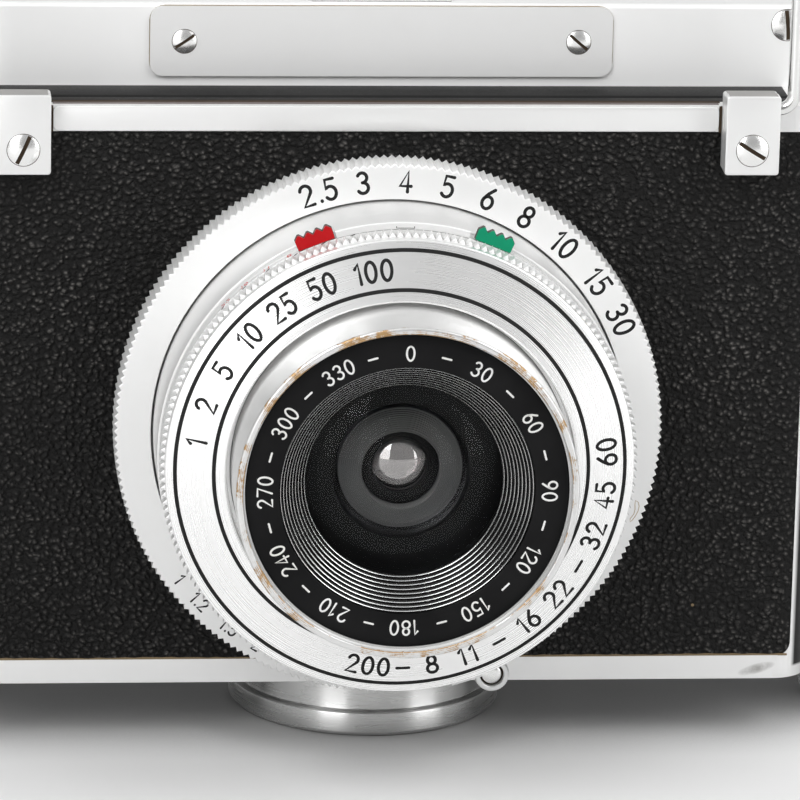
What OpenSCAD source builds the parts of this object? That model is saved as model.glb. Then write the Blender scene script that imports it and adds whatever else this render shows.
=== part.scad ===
// Wide-angle roll-film camera with a wire-frame finder and a front-focusing leaf-shutter lens.
// Millimetres. +Z is up, the lens looks along -Y, and +X is on the right when the lens faces you.
// The origin is the centre of the tripod foot's underside.

/* [Body] */
// Width over the two spool pillars
body_w = 181; // [180.4:0.2:220]
// Depth from the front covering to the back covering
body_d = 45; // [42:0.5:54]
// Height of the body casting
body_h = 92.8; // [90:0.2:112]
// Thickness of the casting's front, top and bottom walls
wall_t = 2.2; // [1.6:0.1:3]
// Width of the flat-fronted middle block, over its rounded corners
block_w = 138; // [130:1:150]
// Radius of the middle block's front corners
block_r = 6; // [3:0.5:8]
// Diameter of the pillar round each spool
pillar_d = 30; // [29.4:0.2:34]
// Depth of the hinged back
door_d = 9; // [7.5:0.1:12]
// Width of the visible metal border above the front covering
border_top = 4.1; // [3:0.1:6]
// Width of the visible metal border under the front covering
border_low = 3.8; // [3:0.1:6]
// Width of the front covering
cover_w = 131.4; // [124:0.2:132]
// Thickness of the grained covering
cover_t = 0.55; // [0.4:0.05:1]
// Height of the lens axis above the underside of the casting
axis_h = 44.9; // [43.5:0.1:50]

/* [Foot and top] */
// Height of the tripod foot
foot_h = 9.7; // [6:0.1:14]
// Diameter of the tripod foot
foot_d = 43.4; // [30:0.2:44.6]
// Wall radius of the tapped tripod hole
tripod_r = 2.65; // [2.4:0.05:3.2]
// Width of the top housing
housing_w = 134.8; // [120:0.2:138]
// Height of the top housing
housing_h = 13.2; // [10:0.2:18]
// Distance from the body front to the housing front
housing_set = 13; // [11:0.5:15]
// Sheet thickness of the top housing
housing_t = 1.2; // [0.8:0.1:2]
// Width of the blank plate on the housing
plate_w = 71.8; // [50:0.2:90]
// Height of the blank plate
plate_h = 11; // [8:0.2:12]

/* [Film path] */
// Length of the exposed frame
format_w = 100; // [84:1:104]
// Height of the exposed frame
format_h = 56; // [54:0.5:57]
// Distance between the two spool axes
spool_pitch = 151; // [147:0.5:160]
// Diameter of a spool's flanges
spool_d = 25.2; // [24:0.2:26]
// Length of a spool over its flanges
spool_l = 65.3; // [60:0.1:80]
// Diameter of a spool's core
core_d = 11.6; // [8:0.2:14]
// Radius of the pins that carry the spools
spool_pin_r = 2.8; // [2.2:0.1:3.4]
// Radius of the film rollers
roller_r = 2.2; // [1.8:0.1:2.6]

/* [Lens and shutter] */
// Width of the focusing ring beyond the shutter housing
focus_over = 6; // [4:0.1:7]
// Distance from the body front to the face of the focusing ring
focus_w = 13.65; // [12:0.05:16]
// Thickness of the focusing ring's knurled rim
focus_t = 3; // [2:0.1:4]
// Diameter of the shutter housing
shutter_d = 72.2; // [70:0.2:87]
// Distance from the body front to the shutter's face plate
face_w = 33.8; // [32:0.1:38]
// Diameter of the bore in the shutter's face plate
face_bore = 52.4; // [52.4:0.2:56]
// Diameter of the front lens barrel
barrel_d = 51; // [42.4:0.2:51.6]
// Distance from the body front to the barrel's front rim
barrel_w = 47.4; // [46:0.1:52]
// Forward travel of the lens when it focuses close
focus_travel = 2.4; // [1:0.1:2.6]
// Visible radius of the front glass
glass_r = 14.7; // [12:0.1:16]
// Number of teeth round the focusing ring
focus_teeth = 132; // [60:2:264]
// Number of teeth round the speed ring
speed_teeth = 108; // [60:2:216]
// Number of blades in the iris and in the shutter
blade_count = 5; // [5:1:5]
// Largest opening radius of the iris
iris_r = 3.05; // [2.6:0.05:3.2]

/* [Finder] */
// Distance between the outer sides of the two hinge blocks
block_span = 120; // [110:0.5:122]
// Width of one hinge block
hinge_w = 8.4; // [7:0.1:10]
// Height of one hinge block
hinge_h = 12.4; // [11:0.1:14]
// Thickness of one hinge block
hinge_t = 5; // [4.4:0.1:6]
// Radius of the finder's wire
wire_r = 1; // [0.8:0.05:1.2]
// How far the folded wire frame reaches past the lens flange
wire_past = 8.1; // [7.7:0.1:12]
// Height of the sighting hole above its hinge
peep_h = 35; // [24:0.5:45]

/* [Fits] */
// Radial clearance of a running fit
run = 0.05; // [0.02:0.01:0.08]
// Gap between parts that pass each other
gap = 0.3; // [0.2:0.05:0.4]

/* [Hidden] */
$fn = 96;
eps = 0.01;

// Levels and planes of the body
low_z = foot_h;
top_z = low_z + body_h;
lens_z = low_z + axis_h;
front_y = -body_d / 2;
back_y = body_d / 2;
split_y = back_y - door_d;
door_y = split_y + 0.2;
pillar_x = spool_pitch / 2;
pillar_r = pillar_d / 2;
half_w = body_w / 2;
block_x = block_w / 2;
chamber_r = spool_d / 2 + 1;
chamber_h = spool_l + 1.9;
hollow_x = pillar_x - chamber_r - 1.4;

// Film path
film_y = split_y + 2;
gate_y = film_y - 5;
gate_t = 1.5;
gate_x = hollow_x - 0.1;
roller_x = gate_x - roller_r - 0.6;
roller_y = film_y - roller_r;
ear_z = 32.6;

// Top housing
housing_y = front_y + housing_set;
housing_back = split_y - 0.2;
housing_top = top_z + housing_h;
knob_r = 11.8;
scallop_r = knob_r + 0.8;

// Lens group, measured forward from the body front
shutter_r = shutter_d / 2;
focus_r = shutter_r + focus_over;
tube_r = shutter_r - 1.1;
mount_r = tube_r - 1.5;
flange_r = mount_r + 5;
slide_r = tube_r - 3;
shutter_w = focus_w - focus_travel - run;
socket_r = 2.75;
socket_drop = axis_h - 2.5;
socket_x = sqrt(pow(flange_r + 7.5, 2) - pow(socket_drop, 2));
socket_pin = 1.9;
core_r = shutter_r - 6.15;
face_r = shutter_r - 0.8;
face_t = 1.8;
face_rise = 2.4;
face_rim_r = face_r - 0.4;
face_lip_r = face_bore / 2 + 0.3;
speed_w = face_w - face_t - 0.2;
speed_t = 2.35;
sync_w = speed_w - speed_t - 0.15;
ring_t = 1.6;
ap_w = sync_w - ring_t - 0.15;
wall_end_w = ap_w - ring_t - 0.15;
tab_angle = 21.5;
tab_r = shutter_r + 1.9;
plate_w0 = 17;
iris_w = plate_w0 + 1.15;
blade_t = 0.15;
blade_step = 0.3;
leaf_w = iris_w + blade_count * blade_step + 0.2;
web_w = leaf_w + blade_count * blade_step + 0.3;
pivot_r = 7.2;
iris_turn = 18.4;
leaf_turn = 27.3;
cell_r = 14.8;
rear_w = -8;

// Finder
hinge_z = top_z + 0.1;
hinge_y = front_y - hinge_t / 2;
block_in = block_span / 2 - hinge_w;
leg_x = block_span / 2 + 2.3;
wire_h = hinge_z - lens_z + flange_r + wire_past;
block_top = top_z + 2.6;
screw_z = block_top - hinge_h + 3.9;
peep_y = housing_back - 2.1;
peep_z = housing_top + 5.3;

// Back
door_axis_x = half_w + 2.5;
door_axis_y = split_y + 0.1;
knuckle_r = 2.2;
window_x = 20;
window_z = lens_z - 20;
latch_h = 28;
latch_stud = 8;
latch_travel = 4;

// Sets the children on the lens axis: their +Z points forward out of the lens
module on_axis(w = 0) {
    translate([0, front_y - w, lens_z]) rotate([90, 0, 0]) children();
}

// Puts a copy on each side of the middle plane
module both_sides() {
    children();
    mirror([1, 0, 0]) children();
}

// A round tube with its lower end at w
module tube(ro, ri, w, len) {
    translate([0, 0, w]) difference() {
        cylinder(r = ro, h = len);
        translate([0, 0, -1]) cylinder(r = ri, h = len + 2);
    }
}

// A slice of a tube between two angles less than 180 degrees apart
module tube_sector(ro, ri, w, len, a0, a1) {
    reach = 2 * ro;
    intersection() {
        tube(ro, ri, w, len);
        translate([0, 0, w]) linear_extrude(len)
            polygon([[0, 0], reach * [cos(a0), sin(a0)], reach * [cos((a0 + a1) / 2), sin((a0 + a1) / 2)],
                     reach * [cos(a1), sin(a1)]]);
    }
}

// A toothed disc with pointed teeth
module toothed(r, depth, teeth, h) {
    linear_extrude(h)
        polygon([for (i = [0 : 2 * teeth - 1])
                 (i % 2 == 0 ? r : r - depth) * [cos(i * 180 / teeth), sin(i * 180 / teeth)]]);
}

// A rectangle with round corners, centred
module round_rect(w, h, r) {
    square([w - 2 * r, h], center = true);
    square([w, h - 2 * r], center = true);
    for (x = [-1, 1], y = [-1, 1]) translate([x * (w / 2 - r), y * (h / 2 - r)]) circle(r);
}

// A screw with a domed slotted head: the head sits at z = 0 and the shank goes down
module dome_screw(head_r, head_h, shank_r, shank_l, turn) {
    ball_r = (head_r * head_r + head_h * head_h) / (2 * head_h);
    difference() {
        intersection() {
            cylinder(r = head_r, h = head_h);
            translate([0, 0, head_h - ball_r]) sphere(ball_r);
        }
        rotate([0, 0, turn]) translate([-head_r - 1, -0.35, head_h - 0.6])
            cube([2 * head_r + 2, 0.7, 2]);
    }
    translate([0, 0, -shank_l]) cylinder(r = shank_r, h = shank_l + eps);
}

// Plan of the body: middle block, two pillars and the square back part
module body_plan(inset = 0) {
    r = block_r - inset;
    x = block_x - block_r;
    translate([-x, front_y + inset]) square([2 * x, back_y]);
    translate([-block_x + inset, front_y + block_r]) square([block_w - 2 * inset, back_y - 2]);
    for (s = [-1, 1]) {
        translate([s * x, front_y + block_r]) circle(r);
        translate([s * pillar_x, 0]) circle(pillar_r - inset);
    }
    back_r = 6 - inset;
    translate([-half_w + inset, 0]) square([body_w - 2 * inset, back_y - 6]);
    translate([-half_w + 6, 0]) square([body_w - 12, back_y - inset]);
    for (s = [-1, 1]) translate([s * (half_w - 6), back_y - 6]) circle(back_r);
}

module half_plane(y0, y1) {
    translate([-200, y0]) square([400, y1 - y0]);
}

// Round-cornered window on the body front, as a block along Y
module front_window(w, z0, z1, r, y0, y1) {
    translate([0, y1, (z0 + z1) / 2]) rotate([90, 0, 0])
        linear_extrude(y1 - y0) round_rect(w, z1 - z0, r);
}

module covering_skin(y0, y1, t) {
    translate([0, 0, low_z]) linear_extrude(body_h) difference() {
        intersection() {
            body_plan();
            half_plane(y0, y1);
        }
        body_plan(t);
    }
}

// Body casting
module body_shell() {
    color("#d6d8d8") difference() {
        union() {
            translate([0, 0, low_z]) linear_extrude(body_h) intersection() {
                body_plan();
                half_plane(front_y - 1, split_y);
            }
            shell_knuckles();
        }
        // Middle hollow, open to the back
        translate([-hollow_x, front_y + wall_t, low_z + wall_t])
            cube([2 * hollow_x, body_d, body_h - 2 * wall_t]);
        both_sides() spool_chamber();
        // Bores for the spool pins, the winding shaft and the lens mount
        both_sides() translate([pillar_x, 0, low_z - 1]) cylinder(r = spool_pin_r + run, h = lens_z - low_z);
        translate([-pillar_x, 0, lens_z]) cylinder(r = spool_pin_r + run, h = body_h);
        translate([pillar_x, 0, top_z - 7]) cylinder(r = 3 + run, h = 8);
        on_axis(-wall_t - 1) cylinder(r = mount_r + 0.1, h = wall_t + 2);
        // Seats of the coverings
        intersection() {
            covering_skin(front_y - 1, front_y + block_r, cover_t + 0.05);
            covering_window(0, front_y - 2, front_y + block_r);
        }
        translate([-hinge_x(), front_y + 2.8, top_z - 0.6]) cube([2 * hinge_x(), housing_set - 3, 2]);
        both_sides() screw_hole();
        socket_hole();
        foot_hole();
    }
    // Fixed pin for the top of the supply spool
    color("#d6d8d8") translate([pillar_x, 0, lens_z + spool_l / 2 - 4])
        cylinder(r = spool_pin_r, h = (chamber_h - spool_l) / 2 + 4 + 0.5);
}

function hinge_x() = block_span / 2 + 2.8;

module spool_chamber() {
    translate([pillar_x, 0, lens_z - chamber_h / 2]) {
        cylinder(r = chamber_r, h = chamber_h);
        translate([-chamber_r, 0, 0]) cube([2 * chamber_r, back_y, chamber_h]);
    }
    translate([hollow_x - 1, gate_y - 3, lens_z - chamber_h / 2])
        cube([4, back_y, chamber_h]);
}

module covering_window(inset, y0, y1) {
    front_window(cover_w - 2 * inset, low_z + border_low + inset, top_z - border_top - inset, 2, y0, y1);
}

module screw_hole() {
    translate([block_in + hinge_w / 2, front_y + 5, screw_z]) rotate([90, 0, 0]) cylinder(r = 1.3, h = 20);
}

module socket_hole() {
    translate([socket_x, front_y + 5, lens_z - socket_drop + socket_pin]) rotate([90, 0, 0])
        cylinder(r = 0.9, h = 6);
}

module foot_hole() {
    translate([0, 0, low_z - 1]) cylinder(r = 5.05, h = wall_t + 2);
}

// Hinge knuckles: the shell holds the outer pair, the back door the middle one
module knuckle(z0, z1, side) {
    translate([door_axis_x, door_axis_y, z0]) difference() {
        union() {
            cylinder(r = knuckle_r, h = z1 - z0);
            translate([-door_axis_x + half_w - 1, side > 0 ? 0.1 : -knuckle_r, 0])
                cube([door_axis_x - half_w + 1, knuckle_r - 0.1, z1 - z0]);
        }
        translate([0, 0, -1]) cylinder(r = 1.2 + (side > 0 ? run : 0.01), h = z1 - z0 + 2);
    }
}

module shell_knuckles() {
    for (z = [lens_z - 36, lens_z + 24]) knuckle(z, z + 12, -1);
}

// Grained covering on the front, wrapped a little way round the corners
module front_covering() {
    color("#1c1b1a") difference() {
        intersection() {
            translate([0, 0, low_z]) linear_extrude(body_h) difference() {
                intersection() {
                    body_plan(0.05);
                    half_plane(front_y - 1, front_y + block_r);
                }
                body_plan(cover_t + 0.05);
            }
            covering_window(0.05, front_y - 2, front_y + block_r);
        }
        on_axis(-5) cylinder(r = flange_r + 0.2, h = 10);
        both_sides() screw_hole();
        socket_hole();
        translate([socket_x, front_y + 5, lens_z - socket_drop]) rotate([90, 0, 0])
            cylinder(r = socket_r + 0.25, h = 6);
    }
}

// Black strip let into the top of the casting, in front of the housing
module top_inlay() {
    color("#191a1b") translate([-hinge_x() + 0.05, front_y + 2.85, top_z - 0.6])
        cube([2 * hinge_x() - 0.1, housing_set - 3.1, 0.8]);
}

// Black chamber that keeps stray light off the film
module light_cone() {
    y0 = front_y + wall_t + 0.1;
    color("#141414") difference() {
        hull() {
            cone_plate(36, 33.6, y0);
            cone_plate(format_w / 2 + 3, format_h / 2 + 3, gate_y - 0.2);
        }
        hull() {
            cone_plate(34.6, 32.2, y0 - 0.2);
            cone_plate(format_w / 2 + 1.6, format_h / 2 + 1.6, gate_y + 0.1);
        }
    }
}

module cone_plate(half_x, half_z, y) {
    translate([-half_x, y, lens_z - half_z]) cube([2 * half_x, 0.2, 2 * half_z]);
}

// Plate with the film opening, the film rails and the roller ears
module film_gate() {
    h = body_h - 2 * wall_t - 0.2;
    color("#202124") difference() {
        union() {
            translate([-gate_x, gate_y, low_z + wall_t + 0.1]) cube([2 * gate_x, gate_t, h]);
            for (z = [-30.6, 28.6, -33, 31.2])
                translate([-format_w / 2 - 3, gate_y, lens_z + z])
                    cube([format_w + 6, film_y - gate_y - (abs(z) > 31 ? 0 : 0.3), abs(z) > 31.1 ? 1.8 : 2]);
            both_sides() for (z = [ear_z, -ear_z - 2])
                translate([roller_x - 2.4, gate_y, lens_z + z]) cube([4.8, roller_y + 1.8 - gate_y, 2]);
        }
        translate([-format_w / 2, gate_y - 1, lens_z - format_h / 2]) cube([format_w, 10, format_h]);
        both_sides() {
            translate([roller_x - roller_r - 0.4, gate_y - 1, lens_z - ear_z + 0.1])
                cube([10, 10, 2 * ear_z - 0.2]);
            translate([roller_x, roller_y, lens_z - ear_z - 3]) cylinder(r = 1 + run, h = 2 * ear_z + 6);
        }
    }
}

module film_roller() {
    color("#c9cbcc") {
        translate([roller_x, roller_y, lens_z - ear_z + 0.3]) cylinder(r = roller_r, h = 2 * ear_z - 0.6);
        translate([roller_x, roller_y, lens_z - ear_z - 1.8]) cylinder(r = 1, h = 2 * ear_z + 3.6);
    }
}

module film_roller_left() { mirror([1, 0, 0]) film_roller(); }

module film_roller_right() { film_roller(); }

// Sheet-metal housing on top, with a hollow for each knob
module top_housing() {
    depth = housing_back - housing_y;
    color("#dcdedd") difference() {
        housing_block(0, depth);
        translate([0, 0, -housing_t]) housing_block(housing_t, depth);
        both_sides() translate([housing_w / 2 - 4.1, housing_y - 1, top_z + 9.9]) rotate([-90, 0, 0])
            cylinder(r = 1.3, h = 4);
        both_sides() translate([30.6, housing_y - 1, plate_z()]) rotate([-90, 0, 0])
            cylinder(r = 0.85, h = 4);
        for (x = [-6, 6], y = [-5, 5]) translate([x, y, housing_top - 3]) cylinder(r = 0.85, h = 4);
    }
}

function plate_z() = top_z + 1.7 + plate_h / 2;

module housing_block(inset, depth) {
    translate([0, 0, top_z]) difference() {
        linear_extrude(housing_h) difference() {
            translate([-housing_w / 2 + inset, housing_y + inset])
                square([housing_w - 2 * inset, depth - 2 * inset]);
            for (s = [-1, 1]) translate([s * pillar_x, 0]) circle(scallop_r + inset);
        }
        // Round the long front top edge
        if (inset == 0) difference() {
            translate([-100, housing_y - 1, housing_h - 0.8]) cube([200, 1.8, 2]);
            translate([-101, housing_y + 0.8, housing_h - 0.8]) rotate([0, 90, 0]) cylinder(r = 0.8, h = 202);
        }
    }
}

// Plain plate on the front of the housing
module nameplate() {
    color("#cfd0cf") difference() {
        translate([0, housing_y, plate_z()]) rotate([90, 0, 0])
            linear_extrude(0.6) round_rect(plate_w, plate_h, 2);
        both_sides() translate([30.6, housing_y + 1, plate_z()]) rotate([90, 0, 0])
            cylinder(r = 0.85, h = 4);
    }
}

// Domed screws of the nameplate, the housing and the shoe
module top_screws() {
    color("#c4c6c6") {
        for (s = [-1, 1]) {
            translate([s * 30.6, housing_y - 0.6, plate_z()]) rotate([90, 0, 0])
                dome_screw(1.9, 0.9, 0.8, 2.2, 60 * s + 90);
            translate([s * (housing_w / 2 - 4.1), housing_y, top_z + 9.9]) rotate([90, 0, 0])
                dome_screw(2.5, 1.2, 1.25, 3, 90);
        }
        for (x = [-6, 6], y = [-5, 5])
            translate([x, y, housing_top + 1.2]) dome_screw(1.5, 0.5, 0.8, 2.4, 35 * x + 20 * y);
    }
}

// Shoe for a clip-on finder or light meter
module accessory_shoe() {
    z = housing_top;
    color("#d9dbda") difference() {
        translate([-10.8, -8.5, z]) cube([21.6, 17, 4.6]);
        translate([-9.35, -9.5, z + 1.2]) cube([18.7, 18, 2.2]);
        translate([-6.25, -9.5, z + 1.2]) cube([12.5, 19, 6]);
        for (x = [-6, 6], y = [-5, 5]) translate([x, y, z - 1]) cylinder(r = 0.85, h = 4);
    }
}

// Bracket and pin that the rear sight folds on
module peep_bracket() {
    color("#c9cbcc") translate([0, peep_y, housing_top]) {
        translate([-4, -2.1, 0]) cube([8, 4.2, 1]);
        for (y = [-1.7, 0.8]) {
            translate([-2.2, y, 0.5]) cube([4.4, 0.9, peep_z - housing_top - 0.5]);
            translate([0, y + 0.9, peep_z - housing_top]) rotate([90, 0, 0]) cylinder(r = 2.2, h = 0.9);
        }
        translate([0, 1, peep_z - housing_top]) rotate([90, 0, 0]) cylinder(r = 0.8, h = 2);
    }
}

// Dial on the supply side that reminds of the film in use
module film_dial() {
    color("#d4d6d6") translate([pillar_x, 0, top_z]) {
        translate([0, 0, 0.3]) toothed(11, 0.4, 60, 2.6);
        translate([0, 0, 2.8]) cylinder(r1 = 10.4, r2 = 10, h = 0.5);
        translate([0, 0, -6.5]) cylinder(r = 3, h = 7);
    }
}

// Blocks that the wire finder turns in
module hinge_blocks() {
    color("#d2d4d4") both_sides() difference() {
        translate([block_in, front_y - hinge_t, block_top - hinge_h]) cube([hinge_w, hinge_t, hinge_h]);
        translate([block_in + 1, hinge_y, hinge_z]) rotate([0, 90, 0])
            cylinder(r = wire_r + run, h = hinge_w + 1);
        screw_hole();
    }
}

module hinge_block_screws() {
    color("#c4c6c6") for (s = [-1, 1])
        translate([s * (block_in + hinge_w / 2), front_y - hinge_t, screw_z]) rotate([90, 0, 0])
            dome_screw(2.5, 1.3, 1.25, 7.6, s > 0 ? 148 : 65);
}

// Turned foot with the tapped tripod hole
module tripod_foot() {
    r = foot_d / 2;
    color("#cfd1d2") difference() {
        union() {
            rotate_extrude() polygon([[0, 0], [r - 0.7, 0], [r, 0.7], [r, 1.6], [r - 1.1, foot_h * 0.5],
                                      [r - 1.1, foot_h], [0, foot_h]]);
            translate([0, 0, foot_h - eps]) cylinder(r = 5, h = wall_t + eps);
        }
        translate([0, 0, -1]) cylinder(r = tripod_r, h = foot_h + 0.5);
    }
}

// Strap lugs on the pillars
module strap_lug() {
    x = half_w;
    z = lug_z();
    difference() {
        union() {
            translate([x - 3, 0, z]) rotate([0, 90, 0]) cylinder(r = 3.4, h = 3.8);
            translate([x - 2, -0.8, z - 2.3]) cube([4.6, 1.6, 4.6]);
            translate([x + 2.6, 0.8, z]) rotate([90, 0, 0]) cylinder(r = 2.3, h = 1.6);
        }
        translate([x + 2.6, 2, z]) rotate([90, 0, 0]) cylinder(r = ring_wire_r() + gap, h = 4);
        translate([0, 0, z - 5]) linear_extrude(10) body_plan(-0.02);
    }
}

function lug_z() = top_z - 12;
function ring_wire_r() = 0.85;
function ring_loop_r() = 6;

module strap_lugs() { color("#c9cbcc") both_sides() strap_lug(); }

module strap_ring() {
    translate([half_w + 2.6, 0, lug_z() - ring_loop_r()]) rotate([0, 90, 0])
        rotate_extrude() translate([ring_loop_r(), 0]) circle(ring_wire_r(), $fn = 32);
}

module strap_ring_left() { color("#b5b7b8") mirror([1, 0, 0]) strap_ring(); }

module strap_ring_right() { color("#b5b7b8") strap_ring(); }

// Socket for the flash cable, low on the front
module flash_socket() {
    color("#d8dada") translate([socket_x, front_y, lens_z - socket_drop]) rotate([90, 0, 0]) {
        rotate_extrude() polygon([[0, 0], [socket_r, 0], [socket_r, 4.8], [socket_r - 0.2, 5], [1.75, 5],
                                  [1.75, 1.2], [1.35, 1.2], [1.35, 4.7], [0, 4.7]]);
        translate([0, socket_pin, -2]) cylinder(r = 0.8, h = 2.5);
    }
}

// Fixed flange and the tube that the focusing ring runs on
module lens_flange() {
    color("#c8caca") on_axis() {
        tube(flange_r, slide_r, 0, 3);
        tube(tube_r, slide_r, 0, focus_w - focus_t - 0.25);
        tube(mount_r, slide_r, -wall_t, wall_t + eps);
    }
}

// Knurled focusing ring
module focus_ring() {
    color("#dfe1e1") on_axis() {
        difference() {
            translate([0, 0, focus_w - focus_t]) toothed(focus_r, 0.5, focus_teeth, focus_t);
            cylinder(r = shutter_r + 0.35, h = focus_w + 1);
        }
        tube(tube_r + 3, tube_r + run, 3.4, focus_w - focus_t - 3.4 + eps);
    }
}

// Sliding tube that carries the shutter
module helicoid_tube() {
    color("#a9abab") on_axis() tube(slide_r - run, slide_r - 2.4, -wall_t + 0.2, shutter_w + wall_t - 0.2);
}

// Housing of the leaf shutter, with its core tube, blade plate and blade pins
module shutter_housing() {
    color("#dadcdc") on_axis() difference() {
        union() {
            tube(shutter_r, cell_r + run, shutter_w, 2.2);
            tube(shutter_r, shutter_r - 1.6, shutter_w, wall_end_w - shutter_w);
            tube(core_r, core_r - 1.55, shutter_w, face_w - face_t - shutter_w);
            tube(core_r - 1, 3.5, plate_w0, 1);
            tube(core_r - 1, barrel_d / 2 - 1.45, web_w, 1.3);
            ledge();
            for (i = [0 : blade_count - 1]) rotate([0, 0, i * 360 / blade_count]) {
                blade_pin(leaf_w - plate_w0 + blade_count * blade_step);
                rotate([0, 0, 36]) blade_pin(iris_w - plate_w0 + blade_count * blade_step - 0.1);
            }
        }
        // Slots for the two levers
        tube_sector(shutter_r + 1, core_r + 1, 15, 2.2, -132, -104);
        tube_sector(shutter_r + 1, core_r + 1, 18, 2.2, -80, -10);
    }
}

module blade_pin(h) {
    translate([pivot_r, 0, plate_w0 + 0.5]) cylinder(r = 0.35, h = h - 0.5, $fn = 32);
}

// Raised index plate between the two coloured tabs
module ledge() {
    tube_sector(shutter_r + 0.8, shutter_r - 1, wall_end_w - 2, 1.9, 74, 106);
    tube_sector(shutter_r + 0.8, shutter_r + 0.2, wall_end_w - 2, speed_w - speed_t - wall_end_w + 1.9,
                74, 106);
}

// Height of the coned face plate at a radius
function face_at(r) = face_w - 0.15 + face_rise * (face_rim_r - r) / (face_rim_r - face_lip_r);

// Coned face plate of the shutter
module shutter_face() {
    color("#e2e3e2") on_axis() difference() {
        rotate_extrude() polygon([[face_bore / 2, face_w - face_t], [face_r, face_w - face_t],
                                  [face_r, face_w - 0.6], [face_rim_r, face_w - 0.15],
                                  [face_lip_r, face_at(face_lip_r)],
                                  [face_bore / 2, face_at(face_lip_r) - 0.2]]);
        for (r = [face_r - 1.5, face_r - 7.2]) tube(r + 0.3, r - 0.3, face_at(r) - 0.15, 2);
    }
}

// Toothed ring that sets the shutter speed
module speed_ring() {
    color("#cdcfce") on_axis() difference() {
        translate([0, 0, speed_w - speed_t]) toothed(shutter_r + 0.1, 0.55, speed_teeth, speed_t);
        cylinder(r = core_r + run, h = 60);
    }
}

// Grip tab with four teeth on its outer edge
module grip_tab(w0, w1, r0, colour) {
    color(colour) difference() {
        translate([r0, -2.95, w0]) cube([tab_r - r0, 5.9, w1 - w0]);
        for (y = [-1.47, 0, 1.47]) translate([tab_r + 0.3, y, w0 - 1]) rotate([0, 0, 45])
            translate([-0.62, -0.62, 0]) cube([1.24, 1.24, w1 - w0 + 2]);
    }
}

// Ring that works the iris, with the red tab
module aperture_ring() {
    on_axis() {
        color("#d4d6d5") tube(shutter_r, core_r + run, ap_w - ring_t, ring_t);
        rotate([0, 0, 90 + tab_angle]) {
            grip_tab(ap_w - ring_t, ap_w, shutter_r - 1, "#c61f26");
            grip_tab(ap_w - ring_t, sync_w, shutter_r + 0.35, "#c61f26");
        }
    }
}

// Ring that sets the flash timing, with the green tab
module sync_lever() {
    on_axis() {
        color("#d4d6d5") tube(shutter_r, core_r + run, sync_w - ring_t, ring_t);
        rotate([0, 0, 90 - tab_angle]) grip_tab(sync_w - ring_t, sync_w, shutter_r - 1, "#1f9b6c");
    }
}

// Ring and arm that cocks the shutter
module cocking_lever() {
    color("#bfc1c2") on_axis() lever_arm(18.25, -72, 5);
}

// Ring and arm that releases the shutter
module release_lever() {
    color("#bfc1c2") on_axis() lever_arm(15.25, -112, 4);
}

module lever_arm(w, angle, width) {
    tube(core_r + 2.2, core_r + run, w, 1.6);
    rotate([0, 0, angle]) translate([core_r + 1, -width / 2, w]) cube([shutter_r + 3.2 - core_r, width, 1.6]);
}

// Front barrel, threaded for filters inside its rim
module lens_barrel() {
    r = barrel_d / 2;
    f = barrel_w;
    seat = f - 12.5;
    color("#c9cbcb") on_axis() rotate_extrude() polygon([
        [r - 1.5, web_w], [r - 1.5, web_w + 1.4], [r - 0.2, web_w + 1.4], [r, web_w + 1.6],
        [r, f - 0.4], [r - 0.3, f], [r - 1, f], [r - 1, f - 1.5], [r - 1.4, f - 1.5],
        [r - 1.4, f - 3.55], [glass_r + 4.75, f - 3.55],
        [glass_r + 1, f - 7], [glass_r + 1, seat], [10.5, seat], [10.5, seat - 3.6], [5.9, seat - 3.6],
        [5.9, seat - 7.6], [6.6, seat - 7.6], [6.6, seat - 10.2], [4.6, seat - 10.2], [4.6, web_w]]);
}

// Black ring that holds the front glass, stepped down towards it
module name_ring() {
    r = barrel_d / 2 - 1.45;
    f = barrel_w - 1.5;
    steps = 6;
    run_r = (r - 5 - glass_r) / steps;
    color("#1b1b1c") on_axis() rotate_extrude() polygon(concat(
        [[r, f - 2], [r, f], [r - 5, f]],
        [for (i = [0 : steps - 1]) each [[r - 5 - i * run_r, f - (i + 1) * 0.9],
                                         [r - 5 - (i + 1) * run_r, f - (i + 1) * 0.9]]],
        [[glass_r, f - 6.2], [glass_r + 0.9, f - 6.2], [glass_r + 0.9, f - 5.4], [glass_r + 4.6, f - 2]]));
}

// Glass in the front cell: a deep meniscus and a small inner lens
module front_lenses() {
    rim = barrel_w - 7.9;
    seat = barrel_w - 12.5;
    color("#46504f") on_axis() {
        difference() {
            intersection() {
                translate([0, 0, rim + 3.9 - 30]) sphere(30);
                translate([0, 0, seat]) cylinder(r = glass_r + 0.95, h = 12);
            }
            translate([0, 0, rim + 1.7 - 11.5]) sphere(11.5);
        }
        intersection() {
            translate([0, 0, seat - 10.15]) cylinder(r = 6.5, h = 2.5);
            translate([0, 0, seat - 7.65 - 16]) sphere(16);
        }
    }
}

// Tube that holds the rear glass
module rear_cell() {
    color("#2a2b2d") on_axis() rotate_extrude() polygon([
        [4.6, plate_w0 - 0.1], [cell_r, plate_w0 - 0.1], [cell_r, shutter_w - 0.1], [17.4, shutter_w - 0.1],
        [17.4, shutter_w - 3], [cell_r, shutter_w - 3], [cell_r, rear_w], [12.7, rear_w],
        [12.7, rear_w + 5.6], [9.6, rear_w + 5.6], [9.6, 9], [6.6, 9], [6.6, 12], [4.6, 12]]);
}

module rear_lenses() {
    color("#46504f") on_axis() {
        difference() {
            intersection() {
                translate([0, 0, rear_w - 1 + 22]) sphere(22);
                translate([0, 0, rear_w - 1]) cylinder(r = 12.6, h = 6.5);
            }
            translate([0, 0, rear_w + 1.4 + 11]) sphere(11);
        }
        translate([0, 0, 9.1]) cylinder(r = 6.5, h = 2.8);
    }
}

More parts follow.
